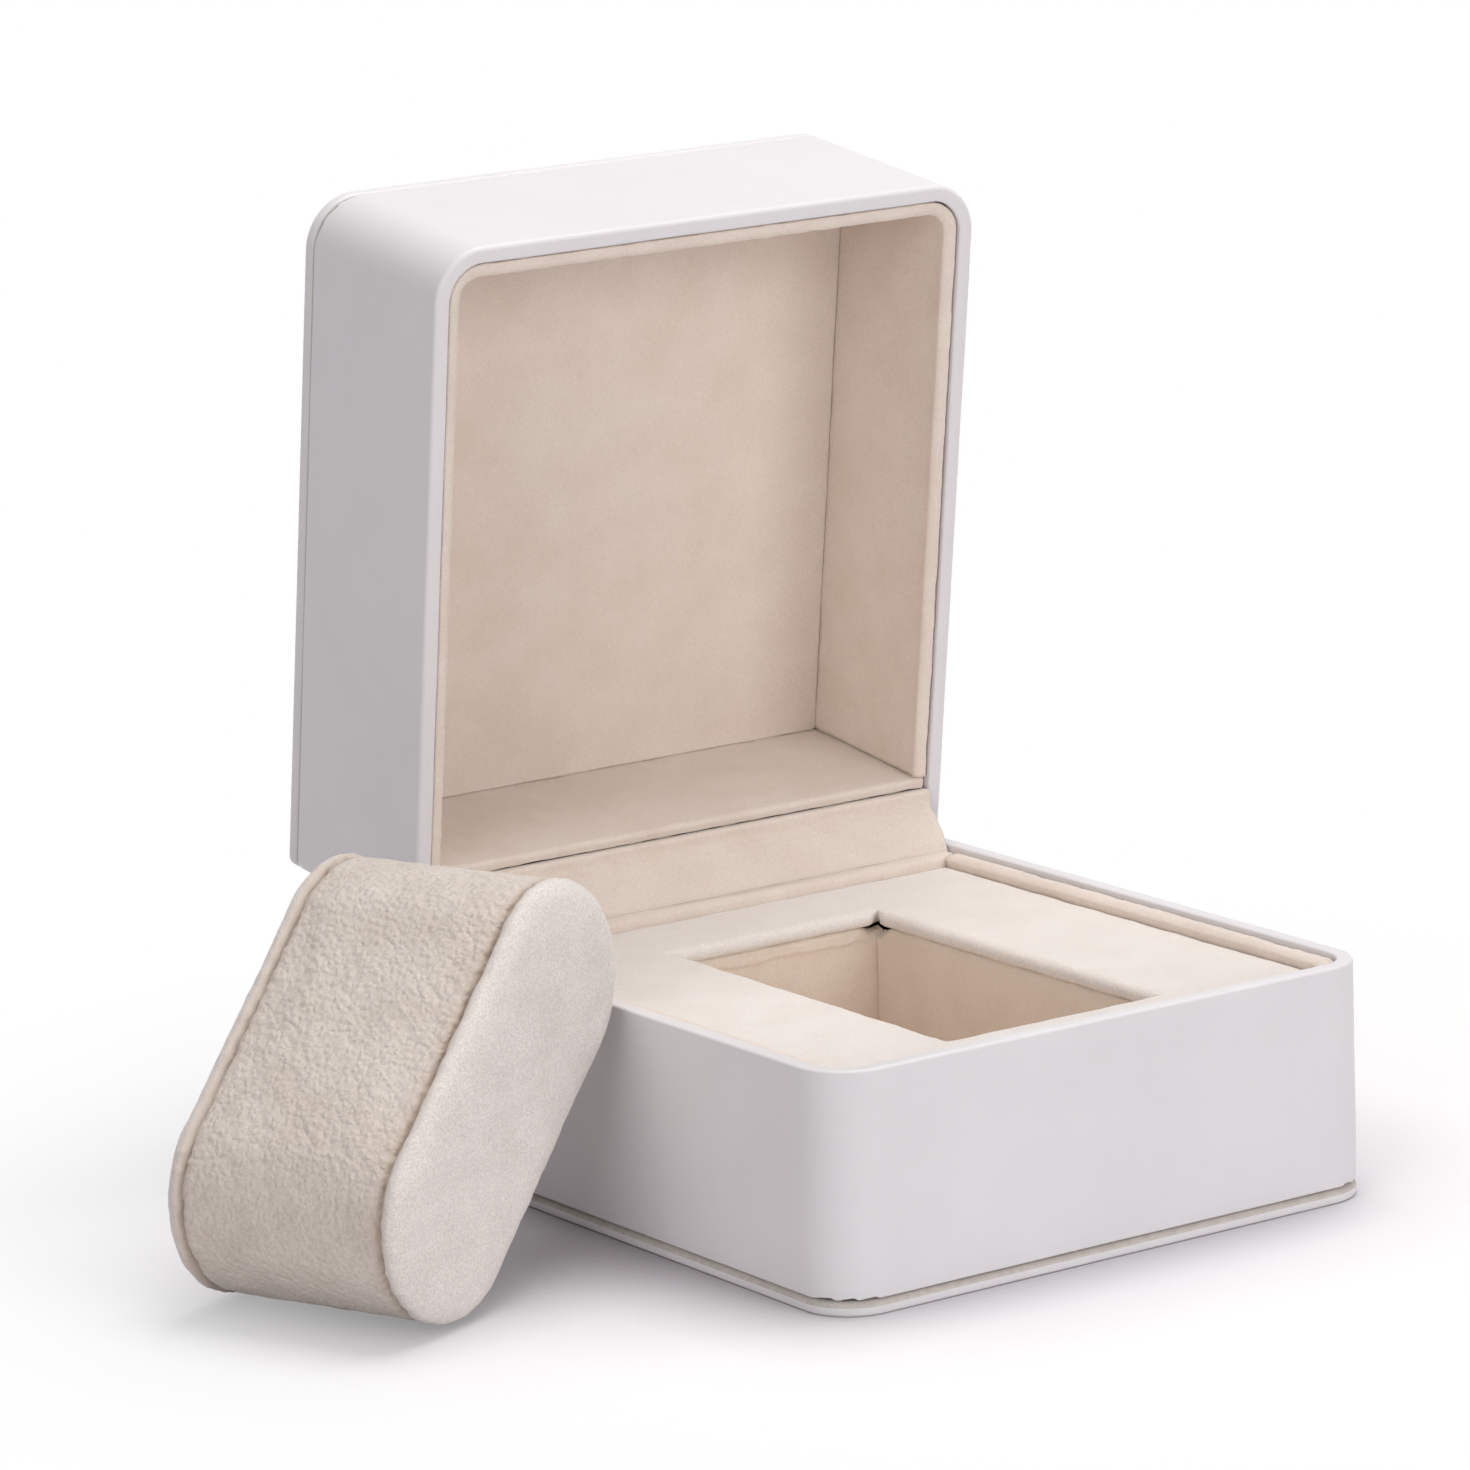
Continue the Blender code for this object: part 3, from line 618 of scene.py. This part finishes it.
def buildDeck():
    # Section from the outer edge to the window and back underneath, carried round both outlines
    low, high = boxOf("deck_panel")
    wellLow, wellHigh = boxOf("well_floor")
    wellMiddle = (wellLow[1] + wellHigh[1]) / 2
    outerInset = shell["half"] - high[0]
    run = evenly(deck["sideSteps"])

    def outer(inset):
        inset = inset - deck["reach"]
        sharp = deck["sharpCorner"]
        front = max(shell["frontCorner"] - outerInset - inset, sharp)
        return roundedPath([(high[0] - inset, low[1] + inset), (high[0] - inset, high[1] - inset),
                            (low[0] + inset, high[1] - inset), (low[0] + inset, low[1] + inset)],
                           [front, sharp, sharp, front], deck["cornerSteps"], [run] * 4)

    def window(inset):
        x, front, back = wellHigh[0] + inset, wellLow[1] - inset, wellHigh[1] + inset
        radius = deck["windowCorner"] + inset * deck["cornerGrowth"]
        return roundedPath([(x, front), (x, back), (-x, back), (-x, front)], [radius] * 4,
                           deck["cornerSteps"], [run] * 4)

    turn = np.linspace(0, math.pi / 2, 9)
    rows = []

    def quarterRound(outline, roll, edge, way, angles):
        # Rows of a rolled edge: inset roll (1 - cos), height edge - way roll (1 - sin)
        for angle in angles:
            rows.append((outline(roll * (1 - math.cos(angle))), edge - way * roll * (1 - math.sin(angle))))

    def flatRows(start, end, count, height):
        rows.extend((start + (end - start) * share, height) for share in evenly(count))

    start, end = outer(deck["outerRoll"]), window(deck["windowRoll"])
    quarterRound(outer, deck["outerRoll"], high[2], 1, turn)
    flatRows(start, end, deck["topSteps"], high[2])
    quarterRound(window, deck["windowRoll"], high[2], 1, turn[::-1])
    quarterRound(window, deck["underRoll"], low[2], -1, turn[1:])
    flatRows(window(deck["underRoll"]), start, deck["underSteps"], low[2])
    rows.append((outer(deck["footRoll"]), low[2]))
    rows.append((outer(0.0), low[2] + deck["footRoll"]))
    grid = np.stack([np.column_stack([shape, np.full(len(shape), z)]) for shape, z in rows])
    piece = skin("deckPad", grid, closeLevels=True)

    def cutCorners(points):
        # The wrap is cut at the window's corners, so a hole opens where the rolls meet. It is
        # widest and deepest underneath and comes to a point at the top.
        moved = points.copy()
        share = np.clip((high[2] - points[:, 2]) / (high[2] - low[2]) * deck["cutSteepness"], 0, 1)
        width = deck["cutWidth"] * (deck["cutTip"] + share)
        for y in (wellLow[1], wellHigh[1]):
            away = math.copysign(1, y - wellMiddle)
            outX = np.abs(points[:, 0]) - wellHigh[0]
            outY = (points[:, 1] - y) * away
            along, beside = (outX + outY) / 2 ** 0.5, np.abs(outX - outY) / 2 ** 0.5
            fade = np.clip(1 - (along - deck["cutHold"]) / deck["cutFade"], 0, 1)
            push = deck["cutReach"] * share * near(beside, 0, width)
            push *= (along > deck["cutStart"]) * fade / 2 ** 0.5
            moved[:, 0] += np.sign(points[:, 0]) * push
            moved[:, 1] += away * push
        return moved

    swell(piece, lambda points: deck["lump"] * waves(points, deck["lumpLength"], 31))
    setPoints(piece, cutCorners(meshPoints(piece)))
    return finishPiece(piece, deckSuedePaintedLight, "base", "deck_panel")


well = {
    "rise": 0.28 * mm, "reach": 0.28 * mm,      # the soft walls meet the deck and each other
    "edgeShare": 0.12, "hemSteps": 110,
    "hemHeight": 2.0 * mm, "hemWave": 0.35 * mm, "hemLength": 9 * mm, "hemDepth": 0.4 * mm,
    "hemEase": 0.5 * mm, "hemInset": 3.3 * mm, "hemFade": 4 * mm,
    "dip": 2.0 * mm, "dipWidth": 1.9 * mm, "dipReach": 6 * mm,
    "floorCorner": 0.6 * mm, "floorRolls": (0.3 * mm, 0.9 * mm), "floorCrown": 0.2 * mm,
    "floorRings": (1.5, 3, 6, 10, 15), "floorSteps": 40,
}


def dippedCorners(points):
    # The walls' tops fall away at the window's corners
    floorLow, floorHigh = boxOf("well_floor")
    top = boxOf("well_wall_back")[1][2] + well["rise"]
    outX = np.abs(points[:, 0]) - floorHigh[0]
    outY = np.maximum(points[:, 1] - floorHigh[1], floorLow[1] - points[:, 1])
    share = np.clip(1 - (top - points[:, 2]) / well["dipReach"], 0, 1)
    moved = points.copy()
    moved[:, 2] -= well["dip"] * share * near(np.hypot(outX, outY), 0, well["dipWidth"])
    return moved


def turnedHem(points):
    # The back wall's suede is turned over along its top: it stands proud above a wavy line and
    # fades into the corners
    low, high = boxOf("well_wall_back")
    line = high[2] - well["hemHeight"] + well["hemWave"] * waves(points[:, :1], well["hemLength"], 44)
    share = np.clip((points[:, 2] - line) / well["hemEase"] + 0.5, 0, 1)
    fade = np.clip((high[0] - well["hemInset"] - np.abs(points[:, 0])) / well["hemFade"], 0, 1)
    facing = points[:, 1] < (low[1] + high[1]) / 2
    moved = points.copy()
    moved[:, 1] -= well["hemDepth"] * share * share * (3 - 2 * share) * fade * facing
    return moved


buildDeck()
for wallName, thick in (("left", 0), ("right", 0), ("front", 1), ("back", 1)):
    low, high = boxOf(f"well_wall_{wallName}")
    reach = np.array([0, well["reach"] * (1 - thick), 0])
    rise = np.array([0, 0, well["rise"]])
    isBack = wallName == "back"
    straightBoard(f"wellWall{wallName.capitalize()}", f"well_wall_{wallName}", "base",
                  (low - reach, high + reach + rise), asIs, True, wellSuedePaintedLight, thick=thick,
                  edgeShare=well["edgeShare"], seed=41 + thick, upSteps=well["hemSteps"] if isBack else 40,
                  shape=(lambda points: dippedCorners(turnedHem(points))) if isBack else dippedCorners)


pad = {"crownReach": 4 * mm, "lump": 0.05 * mm, "lumpLength": 8 * mm}


def flatPad(name, node, body, box, place, material, outlineAt, rolls, crown, rings):
    # Its face, on the side that rolls more, dips by the crown inside its edge and rises again:
    # crown (1 - exp(-depth / crownReach))
    low, high = box
    depth = np.asarray(rings) * mm
    rise = crown * (1 - np.exp(-depth / pad["crownReach"]))
    levels = rolledLevels(low[2], high[2], *rolls, sideSteps=2)
    if rolls[1] > rolls[0]:
        levels = np.concatenate([levels, np.column_stack([depth, high[2] - crown + rise])])
    else:
        levels = np.concatenate([np.column_stack([depth, low[2] + crown - rise])[::-1], levels])
    piece = skin(name, stack(outlineAt, levels))
    swell(piece, lambda points: pad["lump"] * waves(points, pad["lumpLength"], 51))
    return finishPiece(piece, material, body, node, place)


def rectangleOutline(box, radius, count):
    low, high = box

    def outlineAt(inset):
        x0, x1, y0, y1 = low[0] + inset, high[0] - inset, low[1] + inset, high[1] - inset
        return roundedPath([(x1, y0), (x1, y1), (x0, y1), (x0, y0)], [max(radius - inset, 0.2 * mm)] * 4,
                           6, [evenly(count)] * 4)

    return outlineAt


floorBox = boxOf("well_floor")
flatPad("wellFloorPad", "well_floor", "base", floorBox, asIs, wellSuedePaintedLight,
        rectangleOutline(floorBox, well["floorCorner"], well["floorSteps"]),
        well["floorRolls"], well["floorCrown"], well["floorRings"])

ceiling = {
    "reach": 0.25 * mm,                         # past its solid, up to the linings round it
    "rolls": (0.4 * mm, 0.3 * mm), "crown": 0.25 * mm, "rings": (1.5, 3, 6, 10, 16, 24, 32, 40),
}
ceilingBox = shutBox("lid_ceiling_panel")


def ceilingOutline(inset):
    inset = inset - ceiling["reach"]
    outer = shell["half"] - ceilingBox[1][0]
    return caseOutline(inset + outer, back=ceilingBox[1][1] - inset)


flatPad("lidCeilingPad", "lid_ceiling_panel", "lid", ceilingBox, openLid, liningSuede, ceilingOutline,
        ceiling["rolls"], ceiling["crown"], ceiling["rings"])
print("deck, well and ceiling made")


# Suede strip across the hinge, from the base's rail up to the lid's

strip = {
    "bow": 0.3 * mm, "taper": 0.06,
    "fold": 1.3 * mm, "foldAt": 0.90, "foldWidth": 0.10,
    "crease": 0.3 * mm, "creaseAt": 0.66, "creaseWidth": 0.05,
    "wrinkle": 0.12 * mm, "wrinkleEase": 2 * mm, "steps": 70, "across": 280,
    "thickness": 0.7 * mm, "endThickness": 0.35 * mm, "creaseGap": 0.25 * mm,
}


def buildStrip():
    # From the crease behind the base's lining to the crease behind the lid's. The cloth bows,
    # 4t(1 - t), and folds forward under the lid. It thins towards both ends.
    low, high = boxOf("hinge_cover_strip")
    gap = strip["creaseGap"]
    start = np.array([baseBackBox[1][1] + gap, boxOf("base_hinge_rail")[1][2] + gap])
    lidCrease = np.array([0, lidBackBox[1][1] + gap, shutBox("lid_hinge_rail")[0][2] - gap])
    end = openLid(lidCrease)[1:]
    run = end - start
    normal = np.array([-run[1], run[0]]) / np.linalg.norm(run)
    share = np.linspace(0, 1, strip["steps"] + 1)
    taper = np.clip(share / strip["taper"], 0, 1) * np.clip((1 - share) / strip["taper"], 0, 1)
    forward = (strip["bow"] * 4 * share * (1 - share)
               + strip["fold"] * taper * near(share, strip["foldAt"], strip["foldWidth"])
               - strip["crease"] * near(share, strip["creaseAt"], strip["creaseWidth"]))
    middle = start + run * share[:, None] + normal * forward[:, None]
    full, thin = strip["thickness"] / 2, strip["endThickness"] / 2
    face = (thin + (full - thin) * (1 - (2 * share - 1) ** 8))[:, None]
    section = np.concatenate([middle + normal * face, (middle - normal * face)[::-1]])
    x = np.linspace(low[0], high[0], strip["across"])
    grid = np.empty((len(section), len(x), 3))
    grid[..., 0] = x
    grid[..., 1:] = section[:, None]
    piece = skin("hingeStrip", grid, closeLevels=True, closeRing=False)

    def wrinkles(points):
        # Long shallow wrinkles along the strip and small lumps all over, flat at both ends
        height = points[:, 2]
        ease = (np.clip((height - start[1]) / strip["wrinkleEase"], 0, 1)
                * np.clip((end[1] - height) / strip["wrinkleEase"], 0, 1))
        lines = waves(points * np.array([0.2, 1.0, 1.0]), 2.4 * mm, 61) + waves(points, 4 * mm, 62)
        return ease * strip["wrinkle"] * (0.7 * lines + 0.4 * waves(points, 1.5 * mm, 64))

    swell(piece, wrinkles)
    piece.data.materials.append(liningSuede)
    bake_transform(piece)
    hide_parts("hinge_cover_strip")


buildStrip()
print("hinge strip made")


# Pillow: a padded band between two stadium shaped padded ends

pillow = {
    "faceRoll": 2.3 * mm, "seamRoll": 0.35 * mm, "shrink": 0.3 * mm,
    "frontSeam": 1.9 * mm, "rearSeam": 2.4 * mm, "overlap": 0.35 * mm,
    "dome": 0.5 * mm, "domeReach": 4 * mm, "domeRings": (4, 6, 9, 12),
    "scale": 5.0, "voxel": 1.0 * mm, "evening": 10, "pressure": 4.0, "frames": 20, "cap": 0.4 * mm,
    # The last entry here is how far from a seam the painted seam shade reaches
    "valley": 0.22 * mm, "valleyWidth": 0.45 * mm, "paintedSeamShade": 1.3 * mm,
    "pucker": 0.13 * mm, "puckerWidth": 2.6 * mm, "puckerLength": 2.2 * mm, "nubLength": 1.7 * mm,
    "bandLumps": (0.09 * mm, 4 * mm), "endLumps": (0.06 * mm, 7 * mm),     # height and length
}


def stadiumOutline(box, count=60):
    low, high = box

    def outlineAt(inset):
        x0, x1, y0, y1 = low[0] + inset, high[0] - inset, low[1] + inset, high[1] - inset
        radius = (y1 - y0) / 2 * 0.999
        return roundedPath([(x1, y0), (x1, y1), (x0, y1), (x0, y0)], [radius] * 4, count // 3,
                           [evenly(count), evenly(1)] * 2)

    return outlineAt


def appliedMesh(obj):
    # The modifiers' result becomes the mesh
    obj.data = bpy.data.meshes.new_from_object(obj.evaluated_get(bpy.context.evaluated_depsgraph_get()))
    obj.modifiers.clear()


def inflate(obj):
    # Cloth filled with air: a coarse copy swells for some frames, and no point moves past the cap.
    # It is worked at a larger scale, because the solver suits cloth of furniture size.
    scene = bpy.context.scene
    setPoints(obj, meshPoints(obj) * pillow["scale"])
    remesh = obj.modifiers.new("even", "REMESH")
    remesh.mode = "VOXEL"
    remesh.voxel_size = pillow["voxel"] * pillow["scale"]
    evened = obj.modifiers.new("evened", "SMOOTH")
    evened.factor = 0.5
    evened.iterations = pillow["evening"]
    appliedMesh(obj)
    start = meshPoints(obj)
    cloth = obj.modifiers.new("air", "CLOTH")
    settings = cloth.settings
    settings.use_pressure = True
    settings.uniform_pressure_force = pillow["pressure"]
    settings.effector_weights.gravity = 0.0
    settings.quality = 6
    settings.mass = 0.3
    settings.tension_stiffness = 15
    settings.bending_stiffness = 0.6
    cloth.collision_settings.use_collision = False
    for frameNumber in range(1, pillow["frames"] + 1):
        scene.frame_set(frameNumber)
    puffed = np.empty(len(start) * 3)
    evaluated = obj.evaluated_get(bpy.context.evaluated_depsgraph_get())
    evaluated.data.vertices.foreach_get("co", puffed)
    obj.modifiers.clear()
    scene.frame_set(1)
    move = puffed.reshape(-1, 3) - start
    length = np.linalg.norm(move, axis=1)[:, None]
    limit = pillow["cap"] * pillow["scale"]
    move *= np.minimum(1, limit / np.maximum(length, 1e-9))
    setPoints(obj, (start + move) / pillow["scale"])
    smooth = obj.modifiers.new("soft", "SUBSURF")
    smooth.levels = smooth.render_levels = 1
    appliedMesh(obj)


def pillowPiece(name, node, levels, seams, seed, material, lumps):
    low, high = uprightBox(node)
    lump, lumpLength = lumps
    inward = pillow["shrink"] * np.array([1, 1, 0])
    piece = skin(name, stack(stadiumOutline((low + inward, high - inward)), levels))
    inflate(piece)

    def away(points):
        return np.min([np.abs(points[:, 2] - seam) for seam in seams], 0)

    def surface(points):
        # A valley at each seam, puckers across it and small lumps everywhere
        distance = away(points)
        puckers = waves(points * np.array([1, 1, 0.25]), pillow["puckerLength"], seed + 1)
        return (lump * waves(points, lumpLength, seed)
                + 0.6 * lump * waves(points, pillow["nubLength"], seed + 2)
                - pillow["valley"] * near(distance, 0, pillow["valleyWidth"])
                + pillow["pucker"] * puckers * near(distance, 0, pillow["puckerWidth"]))

    swell(piece, surface)
    # Painted shade: a value near 1 close to a seam, which darkens the colour there
    paintedSeamShade = near(away(meshPoints(piece)), 0, pillow["paintedSeamShade"]).astype(np.float32)
    piece.data.attributes.new("seam", "FLOAT", "POINT").data.foreach_set("value", paintedSeamShade)
    piece.data.shade_smooth()
    return finishPiece(piece, material, "base", node, leanPillow)


def buildPillow():
    # The seams lie nearer the faces than the solids' ends, so the band is longer than its node.
    # Each piece passes its seam by the overlap, so that the groove between them is shallow.
    overlap, seamRoll, faceRoll = pillow["overlap"], pillow["seamRoll"], pillow["faceRoll"]
    low, high = uprightBox("pillow_band")
    frontSeam, rearSeam = high[2] + pillow["frontSeam"], low[2] - pillow["rearSeam"]
    shape = rolledLevels(rearSeam - overlap, frontSeam + overlap, seamRoll, seamRoll, sideSteps=44)
    pillowPiece("pillowBand", "pillow_band", shape, (frontSeam, rearSeam), 71, bandSuede,
                pillow["bandLumps"])
    depth = np.array(pillow["domeRings"]) * mm
    rise = pillow["dome"] * (1 - np.exp(-(depth - faceRoll) / pillow["domeReach"]))
    low, high = uprightBox("pillow_end_front")
    shape = rolledLevels(frontSeam - overlap, high[2], seamRoll, faceRoll, sideSteps=2, arcSteps=12,
                         inner=np.column_stack([depth, high[2] + rise]))
    pillowPiece("pillowEndFront", "pillow_end_front", shape, (frontSeam,), 72, pillowSuede,
                pillow["endLumps"])
    low, high = uprightBox("pillow_end_rear")
    shape = rolledLevels(low[2], rearSeam + overlap, faceRoll, seamRoll, sideSteps=2, arcSteps=12)
    shape = np.concatenate([np.column_stack([depth, low[2] - rise])[::-1], shape])
    pillowPiece("pillowEndRear", "pillow_end_rear", shape, (rearSeam,), 73, pillowSuede,
                pillow["endLumps"])


buildPillow()
print("pillow made")


# Pieces that keep their own shape and get a finish

for starts, finish in ((("base_hinge_rail", "lid_hinge_rail", "deck_support"), fibreboard),
                       (("hinge_leaf", "hinge_pin", "hinge_spring"), springSteel)):
    for nodeName in nodes:
        if nodeName.startswith(starts):
            nodes[nodeName].data.materials.clear()
            nodes[nodeName].data.materials.append(finish)
print("hardware finished")


# Floor, lights and camera

# crease is the colour of the floor's painted shade near the case and the pillow; the entry after it is how
# far that shade reaches
floorTones = {"seen": "#FFFDFF", "bounce": "#D6D4D7", "crease": "#857F87", "paintedShadeReach": 0.045,
              "fadeStart": 0.05, "fadeEnd": 0.20, "size": 6.0}
worldFill = 0.25


def seenDirectly(tree):
    # 1 where the camera, a reflection or a clear piece sees the surface, 0 for the light it gives
    path = addNode(tree, "LightPath")
    either = addNode(tree, "Math", {"operation": "MAXIMUM"},
                     {0: path.outputs["Is Camera Ray"], 1: path.outputs["Is Glossy Ray"]})
    seen = addNode(tree, "Math", {"operation": "MAXIMUM"},
                   {0: either.outputs[0], 1: path.outputs["Is Transmission Ray"]})
    return seen.outputs[0]


def whiteFloor():
    # Matt pale paper with painted shade: it turns darker close to the case and the pillow, where ambient
    # occlusion finds them, and plain white away from them. The light that it throws back is a light
    # grey's.
    material = bpy.data.materials.new("palePaper")
    material.use_nodes = True
    tree = material.node_tree
    tree.nodes.clear()
    seen = seenDirectly(tree)
    # Painted shade: ambient occlusion darkens the floor towards the crease colour near the case and the
    # pillow
    crease = addNode(tree, "AmbientOcclusion", {"Distance": floorTones["paintedShadeReach"]})
    tones = {"data_type": "RGBA", 6: linear(floorTones["crease"]), 7: linear(floorTones["seen"])}
    tone = addNode(tree, "Mix", tones, {0: crease.outputs["AO"]})
    color = addNode(tree, "Mix", {"data_type": "RGBA", 6: linear(floorTones["bounce"])},
                    {0: seen, 7: tone.outputs[2]})
    paper = addNode(tree, "BsdfDiffuse", None, {"Color": color.outputs[2]})
    position = addNode(tree, "TexCoord").outputs["Object"]
    away = addNode(tree, "VectorMath", {"operation": "LENGTH"}, {0: position})
    fade = addNode(tree, "MapRange", {"interpolation_type": "SMOOTHSTEP",
                                      "From Min": floorTones["fadeStart"],
                                      "From Max": floorTones["fadeEnd"]}, {"Value": away.outputs["Value"]})
    plain = addNode(tree, "Math", {"operation": "MULTIPLY"}, {0: fade.outputs["Result"], 1: seen})
    white = addNode(tree, "Emission", {"Color": (1, 1, 1, 1), "Strength": 1.0})
    mix = addNode(tree, "MixShader", None,
                  {0: plain.outputs[0], 1: paper.outputs[0], 2: white.outputs[0]})
    addNode(tree, "OutputMaterial", None, {"Surface": mix.outputs[0]})
    size = floorTones["size"]
    mesh = bpy.data.meshes.new("floor")
    corners = [(-size, -size, 0), (size, -size, 0), (size, size, 0), (-size, size, 0)]
    mesh.from_pydata(corners, [], [(0, 1, 2, 3)])
    floor = bpy.data.objects.new("floor", mesh)
    bpy.context.scene.collection.objects.link(floor)
    mesh.materials.append(material)


def whiteWorld():
    # White to the camera and in reflections, a plain soft fill for everything else
    world = bpy.data.worlds.new("studio")
    bpy.context.scene.world = world
    world.use_nodes = True
    tree = world.node_tree
    tree.nodes.clear()
    seen = seenDirectly(tree)
    fill = addNode(tree, "Background", {"Color": linear("#FDFCFF"), "Strength": worldFill})
    white = addNode(tree, "Background", {"Color": (1, 1, 1, 1), "Strength": 1.0})
    mix = addNode(tree, "MixShader", None, {0: seen, 1: fill.outputs[0], 2: white.outputs[0]})
    addNode(tree, "OutputWorld", None, {"Surface": mix.outputs[0]})


lamps = {
    # name: place, target, width and height, watts, colour
    "overhead": ((0.25, 0.05, 1.2), (0, 0, 0.03), (0.75, 0.75), 9.7, "#FFFEFD"),
    "front": ((0.25, -1.2, 0.45), (0, 0, 0.07), (0.8, 0.7), 6.3, "#FFFDFC"),
    "left": ((-1.1, -0.55, 0.5), (0, 0, 0.07), (0.7, 0.7), 3.8, "#FFFDFC"),
}


def hangLamps():
    for name, (place, target, size, watts, color) in lamps.items():
        light = bpy.data.lights.new(name, "AREA")
        light.shape = "RECTANGLE"
        light.size, light.size_y = size
        light.energy = watts
        light.color = linear(color)[:3]
        lamp = bpy.data.objects.new(name, light)
        lamp.location = place
        lamp.rotation_euler = (Vector(target) - Vector(place)).to_track_quat("-Z", "Y").to_euler()
        bpy.context.scene.collection.objects.link(lamp)


cameraPlan = {
    "place": (-0.6600, -0.9063, 0.3219), "azimuth": -0.6085, "elevation": 0.2174, "roll": -0.0334,
    "focalPixels": 7236.6, "imagePixels": 1470,
}


def placeCamera():
    # Azimuth and elevation say from where the camera looks, and roll turns it about its axis
    az, el, roll = (cameraPlan[key] for key in ("azimuth", "elevation", "roll"))
    backward = Vector((math.sin(az) * math.cos(el), -math.cos(az) * math.cos(el), math.sin(el)))
    right = Vector((math.cos(az), math.sin(az), 0.0))
    up = backward.cross(right)
    rolledRight = right * math.cos(roll) + up * math.sin(roll)
    rolledUp = up * math.cos(roll) - right * math.sin(roll)
    data = bpy.data.cameras.new("camera")
    data.sensor_width = 36.0
    data.lens = data.sensor_width * cameraPlan["focalPixels"] / cameraPlan["imagePixels"]
    camera = bpy.data.objects.new("camera", data)
    turn = Matrix((rolledRight, rolledUp, backward)).transposed()
    camera.matrix_world = Matrix.Translation(cameraPlan["place"]) @ turn.to_4x4()
    bpy.context.scene.collection.objects.link(camera)
    bpy.context.scene.camera = camera


whiteFloor()
whiteWorld()
hangLamps()
placeCamera()
bpy.context.scene.view_settings.view_transform = "Standard"
print("floor, lights and camera placed")
